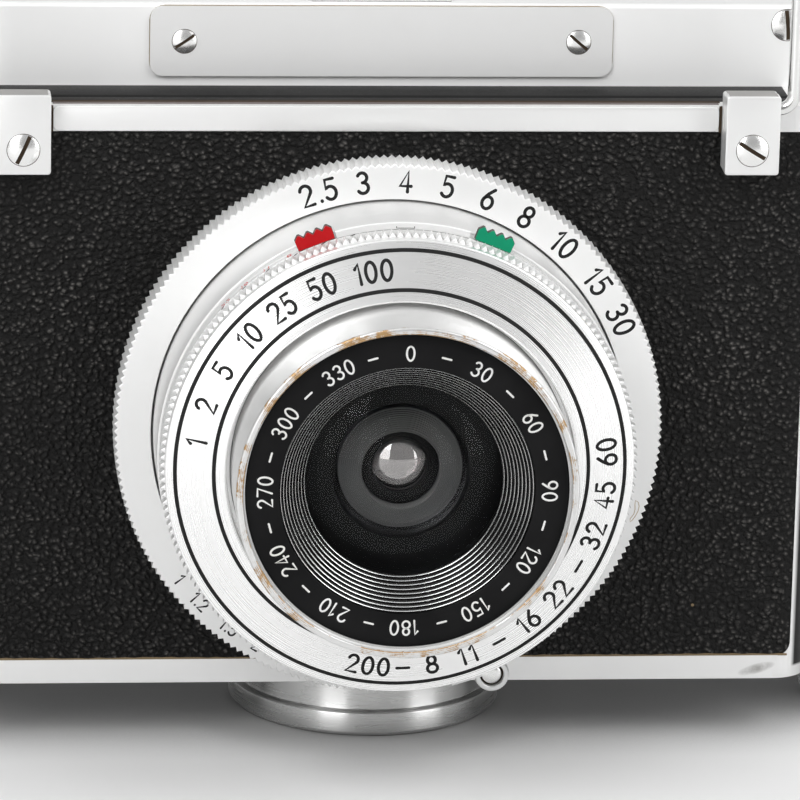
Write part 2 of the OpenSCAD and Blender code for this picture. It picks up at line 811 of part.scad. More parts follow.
// One leaf: an arc round the opening, with an eye on its pivot
module leaf(inner, outer, w) {
    translate([0, 0, w]) linear_extrude(blade_t) difference() {
        union() {
            difference() {
                circle(outer);
                circle(inner);
                polygon([[0, 0], [20, -5], [20, -20], [-20, -20], [-20, 12.5]]);
            }
            translate([inner + 0.8, -0.8]) square([pivot_r - inner - 0.8, 1.6]);
            translate([pivot_r, 0]) circle(0.95);
        }
        translate([pivot_r, 0]) circle(0.35 + run, $fn = 32);
    }
}

module iris_blade(i) {
    color("#26282b") on_axis() rotate([0, 0, 36 + i * 72]) leaf(iris_r, 5.6, iris_w + i * blade_step);
}

module shutter_blade(i) {
    color("#55585c") on_axis() rotate([0, 0, i * 72]) translate([pivot_r, 0, 0]) rotate([0, 0, leaf_turn])
        translate([-pivot_r, 0, 0]) leaf(iris_r + 0.25, 6.3, leaf_w + i * blade_step);
}

// Hinged back
module back_door() {
    color("#d6d8d8") difference() {
        union() {
            translate([0, 0, low_z]) linear_extrude(body_h) intersection() {
                body_plan();
                half_plane(door_y, back_y + 1);
            }
            knuckle(lens_z - 23.7, lens_z + 23.7, 1);
            for (z = [-7.4, 6.4]) translate([window_x - 8, back_y - cover_t, window_z + z])
                cube([29, cover_t + 1.9, 1]);
            for (z = [-7.4, 5.5]) translate([window_x - 8, back_y + 1.2, window_z + z]) cube([29, 0.7, 1.9]);
            for (z = [-latch_stud, latch_stud]) translate([-half_w, latch_y(), lens_z + z])
                rotate([0, -90, 0]) {
                    translate([0, 0, -1]) cylinder(r = 1.1, h = 3.8);
                    translate([0, 0, 2.6]) cylinder(r = 2, h = 0.8);
                }
        }
        translate([-half_w + 1.8, split_y - 1, low_z + wall_t])
            cube([body_w - 3.6, door_d - 0.6, body_h - 2 * wall_t]);
        translate([window_x, back_y + 5, window_z]) rotate([90, 0, 0]) cylinder(r = 4, h = 10);
        back_seat(cover_t, 0);
    }
}

function latch_y() = (door_y + back_y) / 2 - 1;

module back_seat(t, inset) {
    difference() {
        translate([0, back_y + 0.01, low_z + body_h / 2]) rotate([90, 0, 0])
            linear_extrude(t + 0.01) round_rect(body_w - 14 - 2 * inset, body_h - 8 - 2 * inset, 2);
        translate([window_x - 8 - inset, back_y - 5, window_z - 7.4 - inset])
            cube([29 + 2 * inset, 10, 14.8 + 2 * inset]);
    }
}

module back_covering() {
    color("#1c1b1a") intersection() {
        back_seat(cover_t, 0.05);
        translate([-200, back_y - 3, 0]) cube([400, 3, 300]);
    }
}

// Plate that holds the film flat
module pressure_plate() {
    color("#3a3c3f") difference() {
        translate([-format_w / 2 - 3, film_y + 0.1, lens_z - 33]) cube([format_w + 6, 1.2, 66]);
        translate([window_x, back_y, window_z]) rotate([90, 0, 0]) cylinder(r = 4.5, h = 20);
    }
}

// Two bowed leaf springs behind the pressure plate
module pressure_springs() {
    y0 = film_y + 1.32;
    y1 = back_y - 1.62;
    sag = y1 - y0 - 0.3;
    r = (400 + sag * sag) / (2 * sag);
    color("#8f8a7a") for (z = [-4, 14]) intersection() {
        translate([-15, y0 + r, lens_z + z]) tube(r, r - 0.3, 0, 8);
        translate([-35, y0 - 1, lens_z + z]) cube([40, y1 - y0 + 1, 8]);
    }
}

module door_hinge_pin() {
    color("#c9cbcc") translate([door_axis_x, door_axis_y, lens_z - 36.5]) cylinder(r = 1.2, h = 73);
}

// Sliding latch on the free end of the back
module door_latch() {
    x = -half_w - 2.4;
    color("#c2c4c5") difference() {
        union() {
            translate([x, latch_y() - 2.6, lens_z - latch_h / 2]) cube([2.2, 5.2, latch_h]);
            for (z = [-0.6, 1.6, 3.8]) translate([x - 0.8, latch_y() - 2.6, lens_z + z - 0.5])
                cube([1, 5.2, 1]);
        }
        for (z = [-latch_stud, latch_stud]) translate([x - 1, latch_y() - 1.25, lens_z + z - 1.25])
            cube([4, 2.5, 2.5 + latch_travel]);
    }
}

module window_cover() {
    color("#b9bbbc") translate([window_x - 7, back_y + 0.1, window_z - 6.2]) {
        cube([14, 0.9, 12.4]);
        translate([9, 0.5, 3.2]) cube([2, 2, 6]);
    }
}

module red_window() {
    color("#8e1013") translate([window_x, back_y - 1.62, window_z]) rotate([90, 0, 0]) cylinder(r = 5, h = 1);
}

// Winding knob on its keyed shaft
module wind_knob() {
    color("#d4d6d6") translate([-pillar_x, 0, 0]) {
        difference() {
            union() {
                translate([0, 0, top_z + 0.4]) cylinder(r = 8.6, h = 2.4);
                translate([0, 0, top_z + 2.4]) toothed(knob_r, 0.5, 60, 9.6);
                translate([0, 0, top_z + 12]) cylinder(r1 = knob_r - 0.7, r2 = knob_r - 1.5, h = 0.8);
            }
            translate([0, 0, top_z + 12.3]) cylinder(r = 9, h = 3);
        }
        translate([0, 0, lens_z + spool_l / 2 - 4])
            cylinder(r = spool_pin_r, h = top_z - lens_z - spool_l / 2 + 5);
        translate([-4, -0.7, lens_z + spool_l / 2 - 0.7]) cube([8, 1.4, 1.3]);
    }
}

// Film spool with a hole and a key slot in each end
module spool(x) {
    color("#2b2c2e") translate([x, 0, lens_z]) difference() {
        union() {
            cylinder(r = core_d / 2, h = spool_l, center = true);
            for (z = [-spool_l / 2, spool_l / 2 - 0.9])
                translate([0, 0, z]) cylinder(r = spool_d / 2, h = 0.9);
        }
        for (s = [-1, 1]) {
            translate([0, 0, s * spool_l / 2]) cylinder(r = spool_pin_r + gap, h = 12, center = true);
            translate([0, 0, s * spool_l / 2]) cube([9, 2, 2.4], center = true);
        }
    }
}

module takeup_spool() { spool(-pillar_x); }

module supply_spool() { spool(pillar_x); }

// Pull-out knob under each spool
module spool_knob() {
    color("#d4d6d6") translate([pillar_x, 0, 0]) {
        translate([0, 0, foot_h - 8.3]) toothed(4.8, 0.35, 36, 8);
        translate([0, 0, foot_h - 1]) cylinder(r = spool_pin_r, h = lens_z - spool_l / 2 + 4 - foot_h + 1);
    }
}

module spool_knob_left() { mirror([1, 0, 0]) spool_knob(); }

module spool_knob_right() { spool_knob(); }

// Wire frame of the finder, standing up
module wire_finder() {
    bend = 2.3;
    corner = 4;
    color("#c3c5c6") {
        both_sides() {
            translate([block_in + 1.3, hinge_y, hinge_z]) rotate([0, 90, 0])
                cylinder(r = wire_r, h = block_span / 2 - block_in - 1.3);
            translate([block_span / 2, hinge_y, hinge_z + bend]) rotate([90, 0, 0])
                rotate([0, 0, -90]) rotate_extrude(angle = 90) translate([bend, 0]) circle(wire_r, $fn = 32);
            translate([leg_x, hinge_y, hinge_z + bend]) cylinder(r = wire_r, h = wire_h - bend - corner);
            translate([leg_x - corner, hinge_y, hinge_z + wire_h - corner]) rotate([90, 0, 0])
                rotate_extrude(angle = 90) translate([corner, 0]) circle(wire_r, $fn = 32);
        }
        translate([-leg_x + corner, hinge_y, hinge_z + wire_h]) rotate([0, 90, 0])
            cylinder(r = wire_r, h = 2 * (leg_x - corner));
    }
}

// Fold-up rear sight and the bracket that holds it
module peep_sight() {
    color("#c9cbcc") difference() {
        union() {
            translate([-2.2, peep_y - 0.7, peep_z]) cube([4.4, 1.4, peep_h]);
            translate([0, peep_y + 0.7, peep_z]) rotate([90, 0, 0]) cylinder(r = 2.2, h = 1.4);
            translate([0, peep_y + 0.7, peep_z + peep_h]) rotate([90, 0, 0]) cylinder(r = 4.2, h = 1.4);
        }
        translate([0, peep_y + 2, peep_z + peep_h]) rotate([90, 0, 0]) cylinder(r = 1.5, h = 4);
        translate([0, peep_y + 2, peep_z]) rotate([90, 0, 0]) cylinder(r = 0.8 + run, h = 4);
    }
}

body_shell();
front_covering();
top_inlay();
light_cone();
film_gate();
film_roller_left();
film_roller_right();
top_housing();
nameplate();
top_screws();
accessory_shoe();
peep_bracket();
film_dial();
hinge_blocks();
hinge_block_screws();
tripod_foot();
strap_lugs();
strap_ring_left();
strap_ring_right();
flash_socket();
lens_flange();
focus_ring();
helicoid_tube();
shutter_housing();
shutter_face();
speed_ring();
aperture_ring();
sync_lever();
lens_barrel();
name_ring();
front_lenses();
rear_lenses();
rear_cell();
iris_blade(0);  // iris_blade_1
iris_blade(1);  // iris_blade_2
iris_blade(2);  // iris_blade_3
iris_blade(3);  // iris_blade_4
iris_blade(4);  // iris_blade_5
shutter_blade(0);  // shutter_blade_1
shutter_blade(1);  // shutter_blade_2
shutter_blade(2);  // shutter_blade_3
shutter_blade(3);  // shutter_blade_4
shutter_blade(4);  // shutter_blade_5
cocking_lever();
release_lever();
back_door();
back_covering();
pressure_plate();
pressure_springs();
door_hinge_pin();
door_latch();
window_cover();
red_window();
wind_knob();
takeup_spool();
supply_spool();
spool_knob_left();
spool_knob_right();
wire_finder();
peep_sight();
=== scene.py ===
"""Studio scene of a wide-angle roll-film camera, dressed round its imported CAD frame.

Sizes are in millimetres, in the frame's own axes, and become metres when a piece is finished: +X is on the
right of someone who faces the lens, the lens looks along -Y, +Z is up, and the origin lies under the foot.
Lens pieces are shaped on their own axis first, with +Z pointing forward out of the lens. Materials and the
studio work in metres.
"""

import logging
import math
from dataclasses import dataclass, field
from enum import Enum
from typing import Any, Callable, Sequence

import bmesh
import bpy
from mathutils import Matrix, Vector

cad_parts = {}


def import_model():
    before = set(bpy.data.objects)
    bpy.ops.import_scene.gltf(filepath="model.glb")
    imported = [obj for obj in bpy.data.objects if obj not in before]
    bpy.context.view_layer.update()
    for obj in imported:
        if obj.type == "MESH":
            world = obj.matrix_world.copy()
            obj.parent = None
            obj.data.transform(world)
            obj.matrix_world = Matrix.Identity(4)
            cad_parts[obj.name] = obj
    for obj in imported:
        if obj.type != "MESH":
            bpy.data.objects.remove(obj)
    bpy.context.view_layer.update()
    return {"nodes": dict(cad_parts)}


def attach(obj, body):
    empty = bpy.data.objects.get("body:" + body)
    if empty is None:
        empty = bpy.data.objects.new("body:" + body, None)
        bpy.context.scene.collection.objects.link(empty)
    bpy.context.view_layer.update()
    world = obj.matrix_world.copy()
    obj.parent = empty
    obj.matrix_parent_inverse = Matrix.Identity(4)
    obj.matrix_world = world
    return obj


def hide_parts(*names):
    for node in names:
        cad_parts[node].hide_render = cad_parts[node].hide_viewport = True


LOG = logging.getLogger("camera_scene")
MM = 0.001
FRONT_Y = -22.5
LENS_Z = 54.6
FACING_FRONT = Matrix.Rotation(math.radians(90), 4, "X")
LENS_AXIS = Matrix.Translation((0, FRONT_Y, LENS_Z)) @ FACING_FRONT
TURNED_LINES = 5200.0

Colour = tuple[float, float, float]
Profile = Sequence[Sequence[float]]


# Finishes


class Grain(Enum):
    """How the marks of the tool run on a metal surface."""

    NONE = "none"
    TURNED = "turned round the lens axis"
    ALONG_X = "brushed from side to side"
    UPRIGHT_TURNED = "turned round an upright axis"


class Graph:
    """The node tree of a material or of the world, with short ways to add nodes and feed their sockets."""

    def __init__(self, owner: bpy.types.Material | bpy.types.World) -> None:
        """Starts an empty tree.

        Args:
            owner: The material or world that the tree belongs to.
        """
        self.owner = owner
        owner.use_nodes = True
        self.tree = owner.node_tree
        self.tree.nodes.clear()

    def add(self, kind: str, settings: dict[str, Any] | None = None, **inputs: Any) -> bpy.types.Node:
        """Adds a node.

        Args:
            kind: The node's type without its ShaderNode prefix.
            settings: Attributes to set on the node.
            **inputs: Socket values or links; an underscore in a name stands for a space.

        Returns:
            The new node.
        """
        node = self.tree.nodes.new("ShaderNode" + kind)
        for key, value in (settings or {}).items():
            setattr(node, key, value)
        for key, value in inputs.items():
            self.feed(node, key.replace("_", " "), value)
        return node

    def feed(self, node: bpy.types.Node, key: str | int, value: Any) -> None:
        """Links an output to a socket, or sets the socket's own value.

        Args:
            node: The node that is fed.
            key: The socket's name or number.
            value: A link, a number, a vector or a colour.
        """
        socket = node.inputs[key]
        if isinstance(value, bpy.types.NodeSocket):
            self.tree.links.new(value, socket)
        elif isinstance(value, tuple) and len(value) == 3 and socket.type == "RGBA":
            socket.default_value = (*value, 1.0)
        else:
            socket.default_value = value

    def coords(self) -> Any:
        """Object coordinates, which are metres in the frame's axes."""
        return self.add("TexCoord").outputs["Object"]

    def axes(self, vector: Any) -> tuple[Any, ...]:
        """The x, y and z of a vector."""
        return tuple(self.add("SeparateXYZ", None, Vector=vector).outputs)

    def math(self, operation: str, a: Any, b: Any = 0.0, clamp: bool = False) -> Any:
        """One arithmetic step.

        Args:
            operation: The Math node's operation.
            a: First value or link.
            b: Second value or link.
            clamp: Whether the result is kept between 0 and 1.

        Returns:
            The result.
        """
        node = self.add("Math", {"operation": operation, "use_clamp": clamp})
        self.feed(node, 0, a)
        self.feed(node, 1, b)
        return node.outputs[0]

    def plus(self, first: Any, *others: Any) -> Any:
        """Adds values or links, from left to right."""
        for other in others:
            first = self.math("ADD", first, other)
        return first

    def times(self, first: Any, *others: Any) -> Any:
        """Multiplies values or links, from left to right."""
        for other in others:
            first = self.math("MULTIPLY", first, other)
        return first

    def vector(self, operation: str, a: Any, b: Any = None) -> Any:
        """One step on vectors.

        Args:
            operation: The Vector Math node's operation.
            a: First vector or link.
            b: Second vector or link, or the factor of a SCALE.

        Returns:
            The resulting vector, or the number that LENGTH gives.
        """
        node = self.add("VectorMath", {"operation": operation})
        self.feed(node, 0, a)
        if b is not None:
            self.feed(node, "Scale" if operation == "SCALE" else 1, b)
        return node.outputs["Value" if operation == "LENGTH" else "Vector"]

    def span(self, value: Any, low: float, high: float, to_low: float = 0.0, to_high: float = 1.0) -> Any:
        """Maps low..high to to_low..to_high and keeps it between them.

        Args:
            value: The link that is mapped.
            low: Where the result is to_low; it may be above high.
            high: Where the result is to_high.
            to_low: Result at low and beyond it.
            to_high: Result at high and beyond it.

        Returns:
            The result.
        """
        node = self.add("MapRange", {"clamp": True}, Value=value)
        for key, number in (("From Min", low), ("From Max", high), ("To Min", to_low), ("To Max", to_high)):
            self.feed(node, key, number)
        return node.outputs["Result"]

    def noise(self, vector: Any, scale: float, detail: float = 2.0, rough: float = 0.5) -> Any:
        """Fractal noise from 0 to 1 on a vector."""
        return self.add("TexNoise", None, Vector=vector, Scale=scale, Detail=detail, Roughness=rough).outputs["Fac"]

    def lines(self, along: Any, scale: float) -> Any:
        """Fine irregular lines from 0 to 1, which change only along one measure."""
        return self.add("TexNoise", {"noise_dimensions": "1D"}, W=along, Scale=scale, Detail=2.0).outputs["Fac"]

    def mix(self, factor: Any, a: Any, b: Any) -> Any:
        """Mixes two colours.

        Args:
            factor: Share of the second colour.
            a: First colour or link.
            b: Second colour or link.

        Returns:
            The mixed colour.
        """
        node = self.add("Mix", {"data_type": "RGBA"}, Factor=factor)
        self.feed(node, 6, a)
        self.feed(node, 7, b)
        return node.outputs[2]

    def stretched(self, vector: Any, scale: Sequence[float], shift: Sequence[float] = (0, 0, 0)) -> Any:
        """A vector that is moved and then scaled along each axis."""
        return self.vector("MULTIPLY", self.vector("ADD", vector, tuple(shift)), tuple(scale))

    def from_lens(self, vector: Any) -> Any:
        """Distance in metres from the lens axis."""
        return self.vector("LENGTH", self.stretched(vector, (1, 0, 1), (0, 0, -LENS_Z * MM)))

    def occlusion_shade(self, distance: float, low: float, high: float, share: float, samples: int = 6) -> Any:
        """How much painted shade a surface takes in its corners and recesses.

        Args:
            distance: How far a neighbouring surface still counts, in metres.
            low: Openness at which the painted shade is full.
            high: Openness at which it ends.
            share: Its full strength.
            samples: Rays that look for neighbours.

        Returns:
            The strength, from 0 to share.
        """
        node = self.add("AmbientOcclusion", {"samples": samples, "only_local": False}, Distance=distance)
        return self.span(node.outputs["AO"], low, high, share, 0.0)

    def surface(self, colour: Any, rough: Any, metallic: float = 0.0, specular: float = 0.5) -> bpy.types.Node:
        """Adds the main shader, with its uniform numbers on its own sockets.

        Args:
            colour: Base colour or link.
            rough: Roughness or link.
            metallic: Metallic share.
            specular: Specular level.

        Returns:
            The shader's node.
        """
        return self.add("BsdfPrincipled", None, Base_Color=colour, Roughness=rough, Metallic=metallic,
                        Specular_IOR_Level=specular)

    def embossed(self, shader: bpy.types.Node, height: Any, depth: float) -> Any:
        """Gives a shader a relief and closes the tree.

        Args:
            shader: The main shader's node.
            height: Height from 0 to 1.
            depth: What a height of 1 stands for, in metres.

        Returns:
            The finished material.
        """
        relief = self.add("Bump", None, Height=height, Distance=depth, Strength=1.0)
        self.feed(shader, "Normal", relief.outputs["Normal"])
        return self.close(shader)

    def close(self, shader: bpy.types.Node, output: str = "OutputMaterial") -> Any:
        """Links a shader to the output and returns the tree's owner."""
        self.tree.links.new(shader.outputs[0], self.add(output).inputs["Surface"])
        return self.owner


class Finish:
    """A finish that is built once, when the first piece asks for it."""

    name: str
    _made: dict[str, bpy.types.Material] = {}

    def material(self) -> bpy.types.Material:
        """Returns the finish's material, building it the first time."""
        if self.name not in Finish._made:
            Finish._made[self.name] = self.build(Graph(bpy.data.materials.new(self.name)))
        return Finish._made[self.name]

    def build(self, g: Graph) -> bpy.types.Material:
        """Builds the material on an empty tree.

        Args:
            g: The material's tree.

        Returns:
            The material.
        """
        raise NotImplementedError


@dataclass(frozen=True)
class Metal(Finish):
    """Plated or bare metal with tool marks, faint stains and painted shade in its crevices."""

    name: str
    tint: Colour = (0.80, 0.80, 0.795)
    roughness: float = 0.3
    grain: Grain = Grain.NONE
    metallic: float = 1.0
    grain_depth: float = 0.000003
    stretch: float = 0.0
    stains: float = 0.04
    # Colour and strength of the painted shade in crevices
    crevice_shade: Colour = (0.07, 0.06, 0.05)
    crevice_shade_share: float = 0.6
    smudge: tuple[float, float] | None = None
    painted_inside: bool = False

    def marks(self, g: Graph, at: Any) -> Any:
        """Draws the tool marks.

        Args:
            g: The material's tree.
            at: Object coordinates.

        Returns:
            Their height, from 0 to 1.
        """
        if self.grain is Grain.TURNED:
            return g.lines(g.from_lens(at), TURNED_LINES)
        if self.grain is Grain.UPRIGHT_TURNED:
            return g.noise(g.stretched(at, (30, 30, 3200)), 1.0, 2.0)
        if self.grain is Grain.ALONG_X:
            return g.noise(g.stretched(at, (70, 3600, 3600)), 1.0, 2.0)
        return g.noise(at, 1500.0, 3.0)

    def across(self, g: Graph, at: Any) -> Any:
        """Finds the way across the tool marks, along which a turned surface spreads the light.

        Args:
            g: The material's tree.
            at: Object coordinates.

        Returns:
            The direction.
        """
        outward, axis = (1.0, 0.0, 1.0), (0.0, 0.6, 0.0)
        if self.grain is Grain.UPRIGHT_TURNED:
            outward, axis = (0.0, 0.0, 0.0), (0.0, 0.0, 1.0)
        flat = g.stretched(at, outward, (0, 0, -LENS_Z * MM))
        return g.vector("ADD", g.vector("NORMALIZE", flat), axis)

    def rubbed(self, g: Graph, at: Any, fine: Any) -> Any:
        """Draws the grey mark that something has left on the front's lower edge.

        Args:
            g: The material's tree.
            at: Object coordinates.
            fine: Noise that breaks it up.

        Returns:
            Its strength, from 0 to 1.
        """
        half_width, half_height, lean, strength = 0.0027, 0.0008, 0.25, 0.85
        x, y, z = g.axes(at)
        x = g.math("SUBTRACT", x, self.smudge[0])
        z = g.math("SUBTRACT", g.math("SUBTRACT", z, self.smudge[1]), g.times(x, lean))
        reach = g.plus(*(g.math("POWER", g.math("ABSOLUTE", g.math("DIVIDE", value, size)), 2.0)
                         for value, size in ((x, half_width), (z, half_height))))
        mark = g.times(g.span(reach, 1.3, 0.1), g.span(fine, 0.25, 0.6, 0.25, 1.0))
        return g.times(mark, g.span(y, -0.0215, -0.0224), strength)

    def inside(self, g: Graph, at: Any) -> Any:
        """Tells the casting's film chambers and middle room from its outside.

        Args:
            g: The material's tree.
            at: Object coordinates.

        Returns:
            One inside them, and zero outside.
        """
        blur = 0.0002
        x, y, z = g.axes(at)
        x = g.math("ABSOLUTE", x)

        def below(value: Any, limit: float) -> Any:
            """One below a limit in metres, zero above it."""
            return g.span(value, limit + blur, limit - blur)

        def above(value: Any, limit: float) -> Any:
            """One above a limit in metres, zero below it."""
            return g.span(value, limit - blur, limit + blur)

        chambers = g.times(below(x, 0.084), below(g.math("ABSOLUTE", y), 0.012))
        room = g.times(below(x, 0.068), g.times(above(y, -0.0215), below(y, 0.0232)))
        return g.times(g.math("MAXIMUM", chambers, room), g.times(above(z, 0.0115), below(z, 0.1007)))

    def build(self, g: Graph) -> bpy.types.Material:
        """Builds the metal.

        Args:
            g: The material's tree.

        Returns:
            The material.
        """
        at = g.coords()
        broad = g.noise(at, 55.0, 3.0, 0.6)
        fine = g.noise(at, 620.0, 4.0, 0.65)
        marks = self.marks(g, at)
        dull = tuple(c * (1 - 2.0 * self.stains) for c in self.tint)
        colour = g.mix(g.span(broad, 0.35, 0.7), self.tint, dull)
        specks = g.times(g.span(fine, 0.74, 0.79), min(1.0, 7 * self.stains))
        colour = g.mix(specks, colour, (0.42, 0.40, 0.37))
        # Painted shade: the colour darkens where neighbouring surfaces hem the metal in
        colour = g.mix(g.occlusion_shade(0.0004, 0.15, 0.7, self.crevice_shade_share), colour, self.crevice_shade)
        if self.smudge:
            colour = g.mix(self.rubbed(g, at, fine), colour, (0.34, 0.33, 0.32))
        if self.painted_inside:
            colour = g.mix(self.inside(g, at), colour, (0.006, 0.006, 0.006))
        rough = g.plus(g.span(broad, 0.3, 0.75, self.roughness - 0.02, self.roughness + 0.03),
                       g.span(marks, 0.3, 0.7, -0.015, 0.02))
        shader = g.surface(colour, rough, self.metallic)
        if self.stretch:
            shader.inputs["Anisotropic"].default_value = self.stretch
            g.feed(shader, "Tangent", self.across(g, at))
        return g.embossed(shader, marks, self.grain_depth)


@dataclass(frozen=True)
class WornChrome(Finish):
    """Bright chrome on the front barrel, rubbed through to brass along the rim."""

    name: str
    rim_w: float = 47.4
    chrome: Colour = (0.76, 0.76, 0.755)
    brass: Colour = (0.58, 0.37, 0.16)

    def build(self, g: Graph) -> bpy.types.Material:
        """Builds the chrome and the patches of brass.

        Args:
            g: The material's tree.

        Returns:
            The material.
        """
        at = g.coords()
        _, y, z = g.axes(at)
        away = g.from_lens(at)
        fine = g.noise(at, 1500.0, 6.0, 0.75)
        patch = g.noise(g.stretched(at, (1, 2.5, 1)), 210.0, 3.0, 0.6)
        along = g.lines(g.math("SUBTRACT", away, y), 4200.0)
        upper = g.span(z, 0.045, 0.075, 0.0, 0.035)
        near_rim = g.span(g.plus(y, (self.rim_w - FRONT_Y) * MM), 0.0009, 0.0002)
        worn = g.plus(g.times(fine, 0.25), g.times(patch, 0.65), g.times(along, 0.30), upper,
                      g.times(near_rim, 0.2))
        chips = g.span(g.noise(at, 2300.0, 3.0, 0.7), 0.60, 0.64)
        mask = g.times(g.span(worn, 0.835, 0.855), g.span(near_rim, 0.05, 0.3), g.math("SUBTRACT", 1.0, chips))
        colour = g.mix(mask, self.chrome, g.mix(g.span(fine, 0.35, 0.7), self.brass, (0.40, 0.22, 0.09)))
        dirt = g.times(g.span(worn, 0.76, 0.83), g.span(near_rim, 0.1, 0.6, 0.0, 0.18))
        colour = g.mix(dirt, colour, (0.25, 0.20, 0.15))
        # Painted shade where the chrome is hemmed in by neighbouring surfaces
        colour = g.mix(g.occlusion_shade(0.0005, 0.15, 0.7, 0.6), colour, (0.08, 0.07, 0.06))
        rough = g.plus(g.span(mask, 0.0, 1.0, 0.0, 0.14), g.span(near_rim, 0.0, 1.0, 0.42, 0.28))
        height = g.math("SUBTRACT", g.times(g.lines(away, TURNED_LINES), 0.15), mask)
        return g.embossed(g.surface(colour, rough, 0.7), height, 0.00002)


@dataclass(frozen=True)
class Grained(Finish):
    """Black pressed covering with small uneven pebbles whose tops are painted lighter, partly as wear and partly as
    a painted highlight.
    """

    name: str
    colour: Colour = (0.0016, 0.0014, 0.0012)
    # Colour of the lighter pebble tops, partly wear and partly painted highlight
    worn: Colour = (0.172, 0.163, 0.154)
    pebbles: float = 1180.0

    def build(self, g: Graph) -> bpy.types.Material:
        """Builds the covering.

        Args:
            g: The material's tree.

        Returns:
            The material.
        """
        at = g.coords()
        warp = g.add("TexNoise", None, Vector=at, Scale=500.0, Detail=2.0).outputs["Color"]
        uneven = g.vector("ADD", at, g.vector("SCALE", g.vector("SUBTRACT", warp, (0.5, 0.5, 0.5)), 0.0011))
        cells = g.add("TexVoronoi", {"feature": "F1"}, Vector=g.stretched(uneven, (0.86, 1.0, 1.0)),
                      Scale=self.pebbles)
        pebble = g.math("POWER", g.span(cells.outputs["Distance"], 0.72, 0.0), 0.7)
        small = g.noise(at, 3600.0, 3.0, 0.6)
        broad = g.noise(at, 60.0, 3.0, 0.6)
        # Lighter pebble tops against dark valleys: partly wear, partly painted highlight
        rubbed = g.plus(g.span(broad, 0.3, 0.7, 0.35, 1.0), g.span(small, 0.35, 0.7, -0.3, 0.3))
        tops = g.math("MULTIPLY", g.span(pebble, 0.52, 0.97), rubbed, clamp=True)
        colour = g.mix(g.math("POWER", tops, 1.5), self.colour, self.worn)
        rough = g.plus(g.span(small, 0.25, 0.75, 0.26, 0.42), g.span(pebble, 0.3, 0.9, 0.25, 0.0))
        height = g.plus(pebble, g.times(small, 0.35))
        return g.embossed(g.surface(colour, rough, specular=0.2), height, 0.0005)


@dataclass(frozen=True)
class Painted(Finish):
    """Paint, lacquer, anodising or moulded plastic, with dust and a fine texture."""

    name: str
    colour: Colour = (0.02, 0.02, 0.021)
    roughness: float = 0.4
    texture_scale: float = 2500.0
    texture_depth: float = 0.000006
    dust: float = 0.25
    turned: bool = False
    specular: float = 0.5

    def build(self, g: Graph) -> bpy.types.Material:
        """Builds the paint.

        Args:
            g: The material's tree.

        Returns:
            The material.
        """
        at = g.coords()
        fine = g.noise(at, self.texture_scale, 3.0, 0.6)
        broad = g.noise(at, 90.0, 3.0, 0.6)
        paler = tuple(min(1.0, c * 1.25 + 0.006) for c in self.colour)
        colour = g.mix(g.span(broad, 0.35, 0.75), self.colour, paler)
        motes = g.span(g.noise(at, 1300.0, 1.0, 0.4), 0.80, 0.84)
        colour = g.mix(g.times(motes, self.dust), colour, (0.5, 0.48, 0.45))
        rough = g.span(fine, 0.3, 0.7, self.roughness - 0.04, self.roughness + 0.06)
        height = g.plus(fine, g.lines(g.from_lens(at), 6000.0)) if self.turned else fine
        return g.embossed(g.surface(colour, rough, specular=self.specular), height, self.texture_depth)


@dataclass(frozen=True)
class CoatedGlass(Finish):
    """Polished glass with a bloomed coating: clear, with a tinted reflection that grows at grazing angles."""

    name: str
    tint: Colour = (0.75, 0.72, 0.80)
    smoke: Colour = (0.86, 0.88, 0.87)
    strength: float = 0.55

    def build(self, g: Graph) -> bpy.types.Material:
        """Builds the glass.

        Args:
            g: The material's tree.

        Returns:
            The material.
        """
        facing = g.add("Fresnel", None, IOR=1.52).outputs["Fac"]
        mixed = g.add("MixShader")
        g.feed(mixed, 0, g.math("MULTIPLY", facing, self.strength, clamp=True))
        g.feed(mixed, 1, g.add("BsdfTransparent", None, Color=self.smoke).outputs[0])
        g.feed(mixed, 2, g.add("BsdfGlossy", None, Color=self.tint, Roughness=0.015).outputs[0])
        return g.close(mixed)


@dataclass(frozen=True)
class PaleFloor(Finish):
    """Plain pale grey table top, brighter to the camera and in the metal, with painted shadow under the body."""

    name: str = "pale_floor"
    colour: Colour = (0.40, 0.40, 0.40)
    mirrored: Colour = (0.97, 0.97, 0.97)
    seen: Colour = (0.90, 0.90, 0.90)

    def build(self, g: Graph) -> bpy.types.Material:
        """Builds the floor's paint.

        Args:
            g: The material's tree.

        Returns:
            The material.
        """
        ray = g.add("LightPath").outputs
        mirrored = g.math("MAXIMUM", ray["Is Glossy Ray"], ray["Is Transmission Ray"])
        colour = g.mix(ray["Is Camera Ray"], g.mix(mirrored, self.colour, self.mirrored), self.seen)
        # Painted shadow: the floor darkens where the body hems it in, under and round the camera
        colour = g.mix(g.occlusion_shade(0.014, 0.45, 0.95, 0.5, 8), colour, (0.02, 0.02, 0.02))
        return g.close(g.surface(colour, 0.55, specular=0.3))


BODY_CHROME = Metal("satin_body_chrome", (0.88, 0.88, 0.875), 0.38, metallic=0.6, stains=0.015,
                    smudge=(0.0604, 0.0113), painted_inside=True)
HOUSING_CHROME = Metal("housing_chrome", (0.96, 0.96, 0.955), 0.48, metallic=0.12, stains=0.008,
                       grain_depth=0.000001, crevice_shade_share=0.4)
RING_CHROME = Metal("turned_ring_chrome", (0.91, 0.91, 0.905), 0.42, Grain.TURNED, 0.35, stretch=0.5, stains=0.012,
                    crevice_shade_share=0.45)
FACE_CHROME = Metal("shutter_face_chrome", (0.94, 0.94, 0.935), 0.28, Grain.TURNED, 0.7, 0.0000008, 0.35,
                    stains=0.008)
WALL_CHROME = Metal("satin_wall_chrome", (0.85, 0.85, 0.845), 0.46, Grain.TURNED, 0.55, stains=0.012)
STEEL = Metal("polished_steel", (0.62, 0.62, 0.61), 0.2, stains=0.05)
